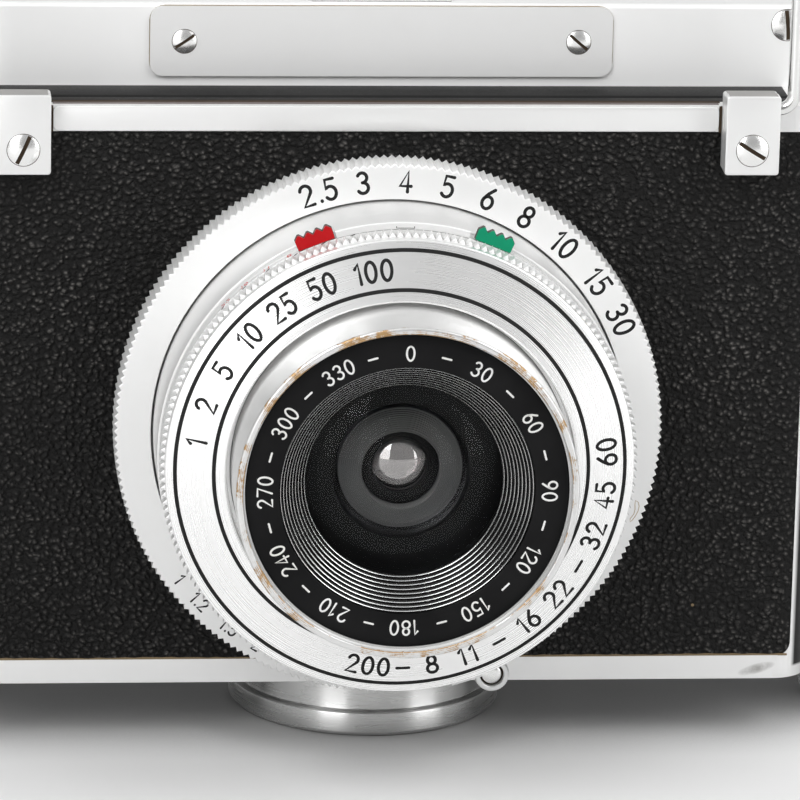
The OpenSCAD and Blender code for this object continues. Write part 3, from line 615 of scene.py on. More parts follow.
SCREW_STEEL = Metal("screw_steel", (0.86, 0.86, 0.85), 0.22, metallic=0.85, grain_depth=0.000001, stains=0.008)
NICKEL = Metal("nickel_wire", (0.78, 0.78, 0.77), 0.16, stains=0.03)
FOOT_CHROME = Metal("turned_foot_chrome", (0.62, 0.62, 0.615), 0.27, Grain.UPRIGHT_TURNED, stretch=0.88,
                    grain_depth=0.0000005, stains=0.02)
KNOB_CHROME = Metal("knob_chrome", (0.80, 0.80, 0.795), 0.27, metallic=0.95, stains=0.02)
# Darker grey copy of the block chrome for the blocks' tops: painted shade, brushed along x
SHADED_BLOCK_TOP = Metal("brushed_block_top_shade", (0.42, 0.41, 0.40), 0.38, Grain.ALONG_X, 0.8, 0.000006, stains=0.06)
CREST_METAL = Metal("rubbed_step_crests", (0.75, 0.75, 0.75), 0.24, Grain.TURNED, grain_depth=0.0000005)
# The plate's crevices take a brownish painted shade
PLATE_METAL = Metal("brushed_plate", (0.84, 0.84, 0.835), 0.45, Grain.ALONG_X, 0.25, 0.000004, stains=0.015,
                    crevice_shade=(0.16, 0.10, 0.05), crevice_shade_share=0.8)
BRONZE = Metal("spring_bronze", (0.50, 0.40, 0.22), 0.3)
BLADE_STEEL = Metal("shutter_blade_steel", (0.80, 0.80, 0.80), 0.4, metallic=0.3, stains=0.02)
BLUED_STEEL = Metal("blued_blades", (0.055, 0.058, 0.065), 0.3, stains=0.02)
BARREL_CHROME = WornChrome("worn_barrel_chrome")
COVERING = Grained("grained_covering")
BLACK_PAINT = Painted("matt_black_paint", (0.004, 0.004, 0.004), 0.55, specular=0.2)
STOP_PAINT = Painted("black_stop_paint", (0.13, 0.13, 0.13), 0.42, turned=True, texture_depth=0.000002,
                     specular=0.3, dust=0.0)
BLACK_ANODISED = Painted("black_anodised", (0.0035, 0.0035, 0.0038), 0.4, turned=True, texture_depth=0.0000003,
                         specular=0.12, dust=0.0)
BLACK_STEPS = Painted("black_turned_steps", (0.003, 0.003, 0.0032), 0.14, turned=True, texture_depth=0.0000004,
                      specular=0.8, dust=0.0)
SPOOL_PLASTIC = Painted("spool_plastic", (0.018, 0.018, 0.018), 0.35)
RED_LACQUER = Painted("red_lacquer", (0.46, 0.002, 0.005), 0.38, 1600.0, dust=0.05, specular=0.2)
GREEN_LACQUER = Painted("green_lacquer", (0.001, 0.27, 0.135), 0.38, 1600.0, dust=0.05, specular=0.2)
TAB_EDGE = Painted("bare_tab_edge", (0.05, 0.035, 0.028), 0.5)
BLACK_INK = Painted("black_engraving_paint", (0.008, 0.008, 0.008), 0.6, dust=0.08, specular=0.2)
WHITE_INK = Painted("white_engraving_paint", (0.86, 0.85, 0.81), 0.6, dust=0.0)
RED_INK = Painted("red_engraving_paint", (0.60, 0.05, 0.04), 0.6, dust=0.0)
# Dark brown for the back of the bar's top: a painted reflection of the black channel behind it
BAR_TOP_REFLECTION = Painted("bar_top_painted_reflection", (0.11, 0.085, 0.08), 0.4, 1200.0, 0.00001, dust=0.1, specular=0.4)
OLD_GLUE = Painted("aged_cement", (0.20, 0.14, 0.07), 0.5, 1800.0, 0.00003)
CHIP_EDGE = Painted("chip_edge", (0.48, 0.38, 0.26), 0.5, dust=0.1)
EDGE_DIRT = Painted("plate_edge_dirt", (0.30, 0.24, 0.16), 0.7, 1800.0, 0.00002, dust=0.3, specular=0.15)
# Dark brown dirt for screw slots and round screw heads, also used as painted shadow in the bar's gaps, and for the
# dark ring in the flash socket
DIRT_AND_GAP_SHADE = Painted("slot_dirt_and_gap_shade", (0.045, 0.030, 0.018), 0.8, 1800.0, 0.00004, dust=0.3, specular=0.15)
RED_GLASS = Painted("red_window_glass", (0.35, 0.006, 0.006), 0.08, dust=0.05)
LENS_GLASS = CoatedGlass("coated_glass", (0.72, 0.72, 0.76), (0.95, 0.955, 0.95), 0.12)
INNER_GLASS = CoatedGlass("inner_coated_glass", (1.0, 0.95, 0.96), (0.95, 0.95, 0.95), 6.0)


# Shaping


class Work:
    """A mesh in the making, in millimetres. A finished one becomes a piece on one of the CAD bodies."""

    def __init__(self) -> None:
        """Starts an empty mesh."""
        self.bm = bmesh.new()

    def chain(self, points: Profile, closed: bool) -> list[Any]:
        """Makes a profile of radii and heights, rounding each corner that has a third number.

        Args:
            points: (radius, height) or (radius, height, corner radius).
            closed: Whether the last point joins the first.

        Returns:
            The profile's vertices and edges.
        """
        verts = [self.bm.verts.new((p[0], 0.0, p[1])) for p in points]
        edges = [self.bm.edges.new(pair) for pair in zip(verts, verts[1:])]
        if closed:
            edges.append(self.bm.edges.new((verts[-1], verts[0])))
        known = set(self.bm.verts) - set(verts)
        for size in sorted({p[2] for p in points if len(p) > 2}):
            corners = [v for v, p in zip(verts, points) if len(p) > 2 and p[2] == size]
            bmesh.ops.bevel(self.bm, geom=corners, offset=size, offset_type="OFFSET", segments=3,
                            profile=0.5, affect="VERTICES", material=-1)
        fresh = [v for v in self.bm.verts if v not in known]
        return fresh + list(dict.fromkeys(e for v in fresh for e in v.link_edges))

    def sector(self, points: Profile, start: float, stop: float, steps: int = 32) -> "Work":
        """Spins a closed profile through part of a circle, with closed ends.

        Args:
            points: Radii and heights.
            start: First polar angle in degrees.
            stop: Last polar angle in degrees.
            steps: Facets along the arc.

        Returns:
            This mesh.
        """
        known = set(self.bm.verts)
        face = self.bm.faces.new([self.bm.verts.new((p[0], 0.0, p[1])) for p in points])
        bmesh.ops.spin(self.bm, geom=[face, *face.edges, *face.verts], cent=(0, 0, 0), axis=(0, 0, 1),
                       dvec=(0, 0, 0), angle=math.radians(stop - start), steps=steps, use_merge=False,
                       use_duplicate=False)
        fresh = [v for v in self.bm.verts if v not in known]
        bmesh.ops.rotate(self.bm, cent=(0, 0, 0), matrix=Matrix.Rotation(math.radians(start), 3, "Z"), verts=fresh)
        return self

    def turn(self, points: Profile, steps: int = 192, closed: bool = True) -> "Work":
        """Spins a profile round the upright axis, as on a lathe.

        Args:
            points: The profile, as chain() takes it.
            steps: Facets round the full circle.
            closed: Whether the profile is a closed outline; an open one starts and ends on the axis.

        Returns:
            This mesh.
        """
        geometry = self.chain(points, closed)
        bmesh.ops.spin(self.bm, geom=geometry, cent=(0, 0, 0), axis=(0, 0, 1), dvec=(0, 0, 0),
                       angle=math.tau, steps=steps, use_merge=True, use_duplicate=False)
        bmesh.ops.remove_doubles(self.bm, verts=self.bm.verts[:], dist=1e-4)
        return self

    def toothed(self, teeth: int, levels: Sequence[tuple[float, float, float]]) -> "Work":
        """Draws a ring of pointed teeth through levels of (height, tip radius, root radius), then closes it.

        Args:
            teeth: Number of teeth.
            levels: From the bore's back, round the outside, to the bore's front.

        Returns:
            This mesh.
        """
        made = bmesh.ops.create_circle(self.bm, cap_ends=False, radius=1.0, segments=2 * teeth)
        ring = sorted(made["verts"], key=lambda v: math.atan2(v.co.y, v.co.x) % math.tau)
        edges = list(dict.fromkeys(e for v in ring for e in v.link_edges))
        first, unit = edges, [v.co.copy() for v in ring]
        self._place(ring, unit, levels[0])
        for level in levels[1:]:
            before = ring
            made = bmesh.ops.extrude_edge_only(self.bm, edges=edges)
            fresh = {v for v in made["geom"] if isinstance(v, bmesh.types.BMVert)}
            edges = [e for e in made["geom"] if isinstance(e, bmesh.types.BMEdge)
                     and e.verts[0] in fresh and e.verts[1] in fresh]
            ring = [next(e.other_vert(v) for e in v.link_edges if e.other_vert(v) in fresh) for v in before]
            self._place(ring, unit, level)
        bmesh.ops.bridge_loops(self.bm, edges=first + edges)
        return self

    @staticmethod
    def _place(ring: Sequence[Any], unit: Sequence[Vector], level: tuple[float, float, float]) -> None:
        """Puts a ring of vertices on a level, every second one at the root radius.

        Args:
            ring: The vertices in order.
            unit: The direction of each from the axis.
            level: Height, tip radius and root radius.
        """
        height, tip, root = level
        for i, (vert, way) in enumerate(zip(ring, unit)):
            radius = root if i % 2 else tip
            vert.co = (way.x * radius, way.y * radius, height)

    def block(self, low: Sequence[float], high: Sequence[float]) -> None:
        """Adds a box.

        Args:
            low: Its lowest corner.
            high: Its highest corner.
        """
        made = bmesh.ops.create_cube(self.bm, size=1.0)["verts"]
        bmesh.ops.scale(self.bm, vec=[b - a for a, b in zip(low, high)], verts=made)
        bmesh.ops.translate(self.bm, vec=[(a + b) / 2 for a, b in zip(low, high)], verts=made)

    def take(self, other: "Work") -> None:
        """Moves another mesh's faces into this one.

        Args:
            other: The mesh that is used up.
        """
        mesh = bpy.data.meshes.new("part")
        other.bm.to_mesh(mesh)
        other.bm.free()
        self.bm.from_mesh(mesh)
        bpy.data.meshes.remove(mesh)

    def soften(self, width: float, segments: int = 2, angle: float = 30.0) -> "Work":
        """Bevels the sharp edges.

        Args:
            width: Width of the bevel.
            segments: Facets across it.
            angle: Edges sharper than this many degrees are bevelled.

        Returns:
            This mesh.
        """
        self.bm.normal_update()
        sharp = [e for e in self.bm.edges if len(e.link_faces) == 2
                 and e.calc_face_angle(0.0) > math.radians(angle)]
        bmesh.ops.bevel(self.bm, geom=sharp, offset=width, offset_type="OFFSET", segments=segments,
                        profile=0.5, affect="EDGES", clamp_overlap=True, material=-1)
        return self

    def moved(self, matrix: Matrix) -> "Work":
        """Moves the whole mesh."""
        bmesh.ops.transform(self.bm, matrix=matrix, verts=self.bm.verts[:])
        return self

    def plate(self, outline: Profile, low: float, high: float) -> None:
        """Adds a slab.

        Args:
            outline: Its corners in the XY plane.
            low: Its lower height.
            high: Its upper height.
        """
        base = self.bm.faces.new([self.bm.verts.new((p[0], p[1], low)) for p in outline])
        lifted = bmesh.ops.extrude_face_region(self.bm, geom=[base])["geom"]
        bmesh.ops.translate(self.bm, vec=(0, 0, high - low),
                            verts=[v for v in lifted if isinstance(v, bmesh.types.BMVert)])

    def on_lens(self) -> "Work":
        """Sets a mesh that was shaped on its own axis onto the lens axis."""
        return self.moved(LENS_AXIS)

    def piece(self, name: str, body: str, finish: Finish, slot: str, stands_for: Sequence[str] = (),
              crease: float = 32.0, recalculate: bool = True) -> bpy.types.Object:
        """Turns the mesh into a piece that rides on a body.

        Args:
            name: The piece's name.
            body: The CAD body that it moves with.
            finish: Its finish.
            slot: The record's material slot; not used.
            stands_for: CAD nodes that it replaces.
            crease: Edges sharper than this many degrees stay sharp.
            recalculate: Whether the faces are turned outwards.

        Returns:
            The new object.
        """
        if recalculate:
            bmesh.ops.recalc_face_normals(self.bm, faces=self.bm.faces[:])
        self.bm.normal_update()
        for face in self.bm.faces:
            face.smooth = True
        for edge in self.bm.edges:
            edge.smooth = len(edge.link_faces) == 2 and edge.calc_face_angle(0.0) < math.radians(crease)
        bmesh.ops.scale(self.bm, vec=(MM, MM, MM), verts=self.bm.verts[:])
        mesh = bpy.data.meshes.new(name)
        self.bm.to_mesh(mesh)
        self.bm.free()
        item = bpy.data.objects.new(name, mesh)
        bpy.context.scene.collection.objects.link(item)
        item.data.materials.append(finish.material())
        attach(item, body)
        if stands_for:
            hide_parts(*stands_for)
        LOG.info("%s rides on %s, %d faces", name, body, len(mesh.polygons))
        return item


def arc(cx: float, cy: float, rx: float, ry: float, start: float, stop: float, steps: int = 12) -> list:
    """Draws an arc of an ellipse.

    Args:
        cx: Its centre's x.
        cy: Its centre's y.
        rx: Its radius along x.
        ry: Its radius along y.
        start: First angle in degrees.
        stop: Last angle in degrees.
        steps: Pieces that it is cut into.

    Returns:
        Its points.
    """
    turn = [math.radians(start + (stop - start) * i / steps) for i in range(steps + 1)]
    return [(cx + rx * math.cos(a), cy + ry * math.sin(a)) for a in turn]


def rounded(x0: float, x1: float, y0: float, y1: float, r: float) -> list[tuple[float, float]]:
    """Outlines a rectangle with rounded corners.

    Args:
        x0: Its left side.
        x1: Its right side.
        y0: Its lower side.
        y1: Its upper side.
        r: Radius of its corners.

    Returns:
        Its points.
    """
    return [point for x, y, start in ((x1 - r, y0 + r, -90), (x1 - r, y1 - r, 0), (x0 + r, y1 - r, 90),
                                      (x0 + r, y0 + r, 180)) for point in arc(x, y, r, r, start, start + 90, 5)]


def cap(ball: float, top: float, angle: float, steps: int) -> list[tuple[float, float]]:
    """Draws the profile of a ball's cap, from its top outwards.

    Args:
        ball: Radius of the ball.
        top: Height of its top.
        angle: How far the cap reaches from the axis, in radians.
        steps: Pieces that it is cut into.

    Returns:
        Radii and heights.
    """
    return [(ball * math.sin(t), top - ball + ball * math.cos(t))
            for t in (angle * i / steps for i in range(steps + 1))]


class Numerals:
    """Plain numerals and ticks drawn as round-ended strokes, in a cell one unit high."""

    def strokes(self, sign: str) -> list[list[tuple[float, float]]]:
        """Draws one sign.

        Args:
            sign: A digit, a point or a dash.

        Returns:
            Its strokes.
        """
        table: dict[str, list] = {
            "0": [arc(0.28, 0.5, 0.26, 0.5, 90, 450, 28)],
            "1": [[(0.12, 0.78), (0.31, 1.0), (0.31, 0.0)]],
            "2": [arc(0.28, 0.73, 0.25, 0.27, 165, -32, 14) + [(0.03, 0.0), (0.54, 0.0)]],
            "3": [arc(0.27, 0.76, 0.22, 0.24, 150, -90, 14), arc(0.27, 0.26, 0.26, 0.26, 90, -150, 16)],
            "4": [[(0.40, 0.0), (0.40, 1.0), (0.02, 0.28), (0.56, 0.28)]],
            "5": [[(0.48, 1.0), (0.11, 1.0), (0.07, 0.56)] + arc(0.26, 0.32, 0.27, 0.32, 125, -145, 16)],
            "6": [[(0.42, 1.0), (0.20, 0.72), (0.05, 0.44)], arc(0.28, 0.30, 0.25, 0.30, 90, 450, 24)],
            "7": [[(0.02, 1.0), (0.54, 1.0), (0.20, 0.0)]],
            "8": [arc(0.28, 0.76, 0.21, 0.24, -90, 270, 22), arc(0.28, 0.26, 0.26, 0.26, 90, 450, 24)],
            "9": [[(0.14, 0.0), (0.36, 0.28), (0.51, 0.56)], arc(0.28, 0.70, 0.25, 0.30, 90, 450, 24)],
            ".": [[(0.10, 0.02), (0.10, 0.05)]],
            "-": [[(0.0, 0.45), (0.62, 0.45)]],
        }
        return table[sign]

    def advance(self, sign: str) -> float:
        """How far the next sign starts after this one."""
        return {".": 0.34, "1": 0.62, "-": 0.95}.get(sign, 0.82)


@dataclass
class Engraving:
    """Signs laid on a turned surface as thin paint, drawn flat first and then laid on it."""

    stroke: float
    surface: Callable[[Vector], Vector]
    numerals: Numerals = field(default_factory=Numerals)
    lines: list[list[Vector]] = field(default_factory=list)

    def around(self, text: str, radius: float, height: float, middle: float, inward: bool = False) -> None:
        """Sets a text round a circle.

        Args:
            text: The signs.
            radius: Radius of their feet, or of their tops if inward.
            height: Height of a numeral.
            middle: Polar angle of the text's middle, in degrees.
            inward: Whether the tops point to the centre.
        """
        run = sum(self.numerals.advance(s) for s in text) * height
        pen = -run / 2 + 0.12 * height
        for sign in text:
            for points in self.numerals.strokes(sign):
                self.lines.append([self._bent(pen + x * height, y * height, radius, height, middle, inward)
                                   for x, y in points])
            pen += self.numerals.advance(sign) * height

    def scale(self, signs: Sequence[tuple[str, float]], radius: float, height: float,
              inward: bool = False) -> None:
        """Sets several texts round a circle.

        Args:
            signs: Each text with its polar angle in degrees.
            radius: Radius of their feet, or of their tops if inward.
            height: Height of a numeral.
            inward: Whether the tops point to the centre.
        """
        for text, middle in signs:
            self.around(text, radius, height, middle, inward)

    @staticmethod
    def _bent(x: float, y: float, radius: float, height: float, middle: float, inward: bool) -> Vector:
        """Bends a point of the flat text round the circle.

        Args:
            x: Its distance along the text from the middle.
            y: Its height above the feet.
            radius: Radius of the feet, or of the tops if inward.
            height: Height of a numeral.
            middle: Polar angle of the text's middle, in degrees.
            inward: Whether the tops point to the centre.

        Returns:
            The point on the circle.
        """
        angle = math.radians(middle) + (1 if inward else -1) * x / (radius + height / 2)
        reach = radius + (height - y if inward else y)
        return Vector((reach * math.cos(angle), reach * math.sin(angle), 0.0))

    def straight(self, text: str, x: float, y: float, height: float) -> None:
        """Sets a text in a straight line.

        Args:
            text: The signs.
            x: Where it starts.
            y: Height of its feet.
            height: Height of a numeral.
        """
        for sign in text:
            for points in self.numerals.strokes(sign):
                self.lines.append([Vector((x + a * height, y + b * height, 0.0)) for a, b in points])
            x += self.numerals.advance(sign) * height

    def work(self, flatness: float = 0.12) -> Work:
        """Sweeps the strokes into thin round-ended ridges and lays them on the surface.

        Args:
            flatness: Thickness as a share of the width.

        Returns:
            The mesh, still on the lens's own axis.
        """
        curve = bpy.data.curves.new("strokes", "CURVE")
        curve.dimensions = "3D"
        curve.bevel_depth = self.stroke / 2
        curve.bevel_resolution = 1
        curve.use_fill_caps = True
        for points in self.lines:
            self._spline(curve, points)
        item = bpy.data.objects.new("strokes", curve)
        bpy.context.scene.collection.objects.link(item)
        mesh = bpy.data.meshes.new_from_object(item.evaluated_get(bpy.context.evaluated_depsgraph_get()))
        made = Work()
        made.bm.from_mesh(mesh)
        bpy.data.objects.remove(item)
        bpy.data.curves.remove(curve)
        bpy.data.meshes.remove(mesh)
        bmesh.ops.remove_doubles(made.bm, verts=made.bm.verts[:], dist=1e-5)
        bmesh.ops.recalc_face_normals(made.bm, faces=made.bm.faces[:])
        for vert in made.bm.verts:
            vert.co = self.surface(Vector((vert.co.x, vert.co.y, vert.co.z * flatness)))
        return made

    def _spline(self, curve: bpy.types.Curve, points: list[Vector]) -> None:
        """Adds one stroke: a loop if it ends where it starts, or else a line with rounded ends.

        Args:
            curve: The curve that it joins.
            points: Its points.
        """
        looped = (points[0] - points[-1]).length < 1e-6
        line = points[:-1] if looped else points
        radii = [1.0] * len(line)
        if not looped:
            for end, inner in ((0, 1), (-1, -2)):
                way = (line[end] - line[inner]).normalized() * self.stroke / 2
                caps = [(line[end] + way * s, c) for s, c in ((0.5, 0.87), (0.87, 0.5), (1.0, 0.06))]
                at = [p for p, _ in caps]
                size = [c for _, c in caps]
                line = at[::-1] + line if end == 0 else line + at
                radii = size[::-1] + radii if end == 0 else radii + size
        spline = curve.splines.new("POLY")
        spline.points.add(len(line) - 1)
        for point, place, radius in zip(spline.points, line, radii):
            point.co = (*place, 1.0)
            point.radius = radius
        spline.use_cyclic_u = looped

    def laid(self, name: str, body: str, ink: Finish, slot: str = "satin_chrome") -> None:
        """Makes the strokes a piece on the lens axis.

        Args:
            name: The piece's name.
            body: The CAD body that it moves with.
            ink: Its finish.
            slot: The record's material slot.
        """
        self.work().on_lens().piece(name, body, ink, slot, recalculate=False)


def level(w: float) -> Callable[[Vector], Vector]:
    """A flat face at a distance forward of the body front."""
    return lambda p: Vector((p.x, p.y, p.z + w))


def drum(radius: float) -> Callable[[Vector], Vector]:
    """A cylinder on the lens axis: a drawing's x runs round it in degrees, and its y is the distance forward."""
    return lambda p: Vector(((radius + p.z) * math.cos(math.radians(90) - p.x / radius),
                             (radius + p.z) * math.sin(math.radians(90) - p.x / radius), p.y))


# Sub-assemblies


@dataclass
class LensRings:
    """The focusing ring and the shutter's rings, tabs and coned face plate."""

    focus_r: float = 42.1
    focus_w: float = 13.65
    focus_bore: float = 36.45
    knurl: float = 6.1
    focus_teeth: int = 220
    shutter_r: float = 36.1
    shutter_w: float = 11.2
    shutter_floor: float = 2.2
    rear_bore: float = 14.85
    wall_end: float = 25.8
    core_r: float = 29.95
    band_r: float = 35.75
    tab_r: float = 38.0
    speed_w: float = 31.8
    speed_teeth: int = 190
    face_w: float = 33.65
    face_r: float = 35.3
    face_bore: float = 26.2
    face_rise: float = 2.4

    def face_at(self, radius: float) -> float:
        """Distance forward of the coned face at a radius."""
        rim, lip = self.face_r - 0.4, self.face_bore + 0.3
        return self.face_w + self.face_rise * (rim - radius) / (rim - lip)

    def focus_ring(self) -> None:
        """Knurled ring with its sleeve, and the scale on its face."""
        r, w, b = self.focus_r, self.focus_w, self.focus_bore
        root = r - 0.55
        back = w - self.knurl
        levels = [(back, b, b), (back, root - 0.1, root - 0.1), (back + 0.15, r - 0.2, root),
                  (back + 0.4, r, root), (w - 0.16, r, root), (w - 0.04, r - 0.08, root - 0.04),
                  (w, r - 0.2, root - 0.16), (w, root - 0.4, root - 0.4), (w, r - 1.6, r - 1.6),
                  (w, b + 0.28, b + 0.28), (w - 0.05, b + 0.08, b + 0.08), (w - 0.2, b, b)]
        Work().toothed(self.focus_teeth, levels).on_lens().piece(
            "focus_ring_rim", "focus", RING_CHROME, "satin_chrome", ["focus_ring"], crease=20)
        sleeve = [(35.05, 3.4, 0.1), (38.0, 3.4, 0.3), (38.0, back), (35.05, back)]
        Work().turn(sleeve, 192).on_lens().piece(
            "focus_ring_sleeve", "focus", RING_CHROME, "satin_chrome", ["focus_ring"])
        marks = Engraving(0.52, level(w))
        marks.scale((("2.5", 107), ("3", 97), ("4", 87.5), ("5", 78), ("6", 68.5), ("8", 59), ("10", 48.5),
                     ("15", 37), ("30", 26.5)), 37.7, 3.2)
        marks.laid("focus_scale", "focus", BLACK_INK)
        small = Engraving(0.32, level(w))
        small.scale((("1", 216.5), ("1.2", 223.5), ("1.5", 232.5), ("2", 240)), 38.6, 1.9, inward=True)
        small.laid("focus_scale_near", "focus", BLACK_INK)
        chip = Engraving(0.13, level(w))
        polar = ((40.0, -16.4), (40.5, -16.6), (40.85, -17.4), (40.95, -18.5), (40.85, -19.7), (40.65, -20.8),
                 (40.45, -21.4), (40.25, -20.7), (40.5, -19.4), (40.4, -18.3), (40.15, -17.4))
        spots = [Vector((q * math.cos(math.radians(a)), q * math.sin(math.radians(a)), 0)) for q, a in polar]
        chip.lines = [spots + spots[:1]]
        chip.laid("ring_chip", "focus", CHIP_EDGE)

    def shutter_body(self) -> None:
        """Housing wall with the raised index plate, the core tube, and the blackened plates inside."""
        r, w, bore, floor = self.shutter_r, self.shutter_w, self.rear_bore, self.shutter_w + self.shutter_floor
        wall = [(bore, w, 0.1), (r, w, 0.3), (r, self.wall_end, 0.12), (r - 1.6, self.wall_end), (r - 1.6, floor),
                (bore, floor)]
        Work().turn(wall, 256).on_lens().piece(
            "shutter_wall", "lens", WALL_CHROME, "satin_alloy", ["shutter_housing"])
        back = [(17.45, w - 0.6), (29.5, w - 0.6), (29.5, w - 0.02), (17.45, w - 0.02)]
        Work().turn(back, 128).on_lens().piece("shutter_back", "lens", BLACK_PAINT, "black_paint")
        ledge = [(r - 0.9, 23.8), (r + 0.62, 23.8), (r + 0.8, 23.98), (r + 0.8, 29.2), (r + 0.65, 29.35),
                 (r - 0.28, 29.35), (r - 0.28, 25.75), (r - 0.9, 25.75)]
        Work().sector(ledge, 74, 106, 48).on_lens().piece(
            "index_ledge", "lens", WALL_CHROME, "satin_alloy", ["shutter_housing"])
        core_r, core_end = self.core_r, self.face_w - 1.7
        core = [(core_r, floor), (core_r, core_end), (core_r - 1.55, core_end), (core_r - 1.55, floor)]
        Work().turn(core, 192).on_lens().piece(
            "shutter_core", "lens", BLACK_PAINT, "satin_alloy", ["shutter_housing"])
        inner = Work()
        for outline in ([(28.45, 17.0), (28.45, 18.0), (3.5, 18.0), (3.5, 17.0)],
                        [(28.45, 21.7), (28.45, 23.0), (24.1, 23.0), (24.1, 21.7)]):
            inner.turn(outline, 96)
        inner.on_lens().piece("blade_plates", "lens", BLACK_PAINT, "satin_alloy", ["shutter_housing"])
        index = Engraving(0.13, level(29.36))
        index.lines = [[Vector((-1.0, r + 0.12, 0)), Vector((-1.0, r - 0.1, 0)), Vector((1.7, r - 0.12, 0)),
                        Vector((1.7, r + 0.1, 0))]]
        index.laid("index_mark", "lens", BLACK_INK, "satin_alloy")

    def speed_ring(self) -> None:
        """Fine-toothed ring just behind the face plate."""
        w, b = self.speed_w, self.core_r + 0.05
        tip = self.shutter_r - 0.05
        root = tip - 0.92
        levels = [(w - 2.35, b, b), (w - 2.35, root - 0.1, root - 0.1), (w - 2.15, root, root),
                  (w - 1.85, tip, root), (w - 0.45, tip, root), (w - 0.2, tip - 0.12, root - 0.02),
                  (w - 0.05, root, root - 0.1), (w, root - 0.2, root - 0.2), (w, b, b)]
        Work().toothed(self.speed_teeth, levels).on_lens().piece(
            "speed_ring_rim", "speed", WALL_CHROME, "satin_chrome", ["speed_ring"], crease=20)

    def face_plate(self) -> None:
        """Bright coned face with two engraved circles and a ring of plain numbers."""
        r, b = self.face_r, self.face_bore
        low = self.face_w - 1.65
        grooves = [33.82, 28.1]
        outline = [(b, low), (r, low), (r, self.face_at(r) - 0.12, 0.03), (r - 0.12, self.face_at(r - 0.12), 0.05)]
        for middle in grooves:
            outline += [(middle + 0.3, self.face_at(middle + 0.3)), (middle + 0.26, self.face_at(middle) - 0.14),
                        (middle - 0.26, self.face_at(middle) - 0.14), (middle - 0.3, self.face_at(middle - 0.3))]
        outline += [(b + 0.3, self.face_at(b + 0.3), 0.1), (b, self.face_at(b) - 0.3, 0.1), (b, low + 1.0),
                    (b - 0.62, low + 1.0), (b - 0.62, low + 0.2), (b, low + 0.2)]
        Work().turn(outline, 256).on_lens().piece(
            "face_plate", "lens", FACE_CHROME, "satin_chrome", ["shutter_face"], crease=24)
        fill = Work()
        for middle in grooves:
            top = self.face_at(middle)
            fill.turn([(middle - 0.28, top - 0.13), (middle + 0.28, top - 0.13), (middle + 0.28, top - 0.1),
                       (middle - 0.28, top + 0.05)], 256)
        fill.on_lens().piece("face_circles", "lens", BLACK_INK, "satin_chrome")
        marks = Engraving(0.5, lambda p: Vector((p.x, p.y, p.z + self.face_at(p.xy.length))))
        marks.scale((("1", 172), ("2", 161), ("5", 150), ("10", 138), ("25", 126), ("50", 113.5), ("100", 99)),
                    29.6, 2.9)
        marks.scale((("200", 262), ("-", 272), ("8", 280), ("11", 290), ("-", 300), ("16", 309.5), ("22", 321),
                     ("-", 331), ("32", 340.5), ("45", 352.5), ("60", 365)), 29.6, 2.9, inward=True)
        marks.laid("face_numbers", "lens", BLACK_INK)

    def band(self, name: str, body: str, high: float, node: str) -> None:
        """Plain ring behind the speed ring that carries one of the coloured tabs.

        Args:
            name: The piece's name.
            body: The body that it rides on.
            high: Its front, measured forward from the body front.
            node: The CAD node that it stands for with its tab.
        """
        inner, low = self.core_r + 0.05, high - 1.6
        outline = [(inner, low), (self.band_r, low, 0.08), (self.band_r, high, 0.08), (inner, high)]
        Work().turn(outline, 256).on_lens().piece(name, body, WALL_CHROME, "satin_chrome", [node])

    def tab(self, name: str, body: str, node: str, finish: Finish, slot: str, low: float, seat: float,
            high: float, degrees: float) -> None:
        """Grip tab with four pointed teeth, lacquered on its face and bare on its edge.

        Args:
            name: The piece's name.
            body: The body that it rides on.
            node: The CAD node that it stands for with its ring.
            finish: Its lacquer.
            slot: The record's material slot.
            low: Its back, measured forward from the body front.
            seat: Where its own ring ends.
            high: Its front.
            degrees: Its polar angle.
        """
        root, inner, outer = self.band_r - 0.1, self.band_r + 0.08, self.tab_r
        half, depth, half_stem = 2.95, 0.62, 1.5
        pitch = 2 * half / 4
        points = [(inner, -half + 0.05), (outer - depth, -half)]
        for i in range(4):
            y = -half + i * pitch
            points += [(outer, y + 0.40 * pitch), (outer, y + 0.60 * pitch)]
            if i < 3:
                points.append((outer - depth, y + pitch))
        points += [(outer - depth, half), (inner, half - 0.05)]
        spin = Matrix.Rotation(math.radians(degrees), 4, "Z")
        neck, stem = ([(start, -half_stem), (inner + 0.5, -half_stem), (inner + 0.5, half_stem), (start, half_stem)]
                      for start in (inner, root))
        for suffix, outline, coat, bottom, top in (
                ("", [(x - 0.03 if x > inner else x, y * 0.985) for x, y in points], finish, high - 0.35, high),
                ("_edge", points, TAB_EDGE, high - 1.25, high - 0.32)):
            made = Work()
            made.plate(outline, bottom, top)
            if suffix:
                made.plate(neck, low + 0.5, bottom + 0.05)
                made.plate(stem, low, seat)
            made.bm.normal_update()
            made.moved(spin).on_lens().piece(name + suffix, body, coat, slot, [node])

    def small_scale(self) -> None:
        """Small red numbers on the ring behind the teeth, and dark index dots in a few of the teeth."""
        red = Engraving(0.16, drum(self.band_r + 0.02))
        for text, degrees in (("8", 118.0), ("11", 125.0), ("16", 131.7), ("22", 138.0)):
            red.straight(text, math.radians(90 - degrees) * self.band_r - 0.45, 27.85, 1.25)
        red.laid("iris_scale", "sync", RED_INK)
        dots = Engraving(0.36, drum(self.shutter_r - 0.04))
        for degrees in (102.2, 109.4, 116.5, 124.0, 131.0, 138.0):
            x = math.radians(90 - degrees) * self.shutter_r
            dots.lines.append([Vector((x - 0.2, 30.85, 0)), Vector((x + 0.22, 30.6, 0))])
        dots.laid("speed_dots", "speed", BLACK_INK)

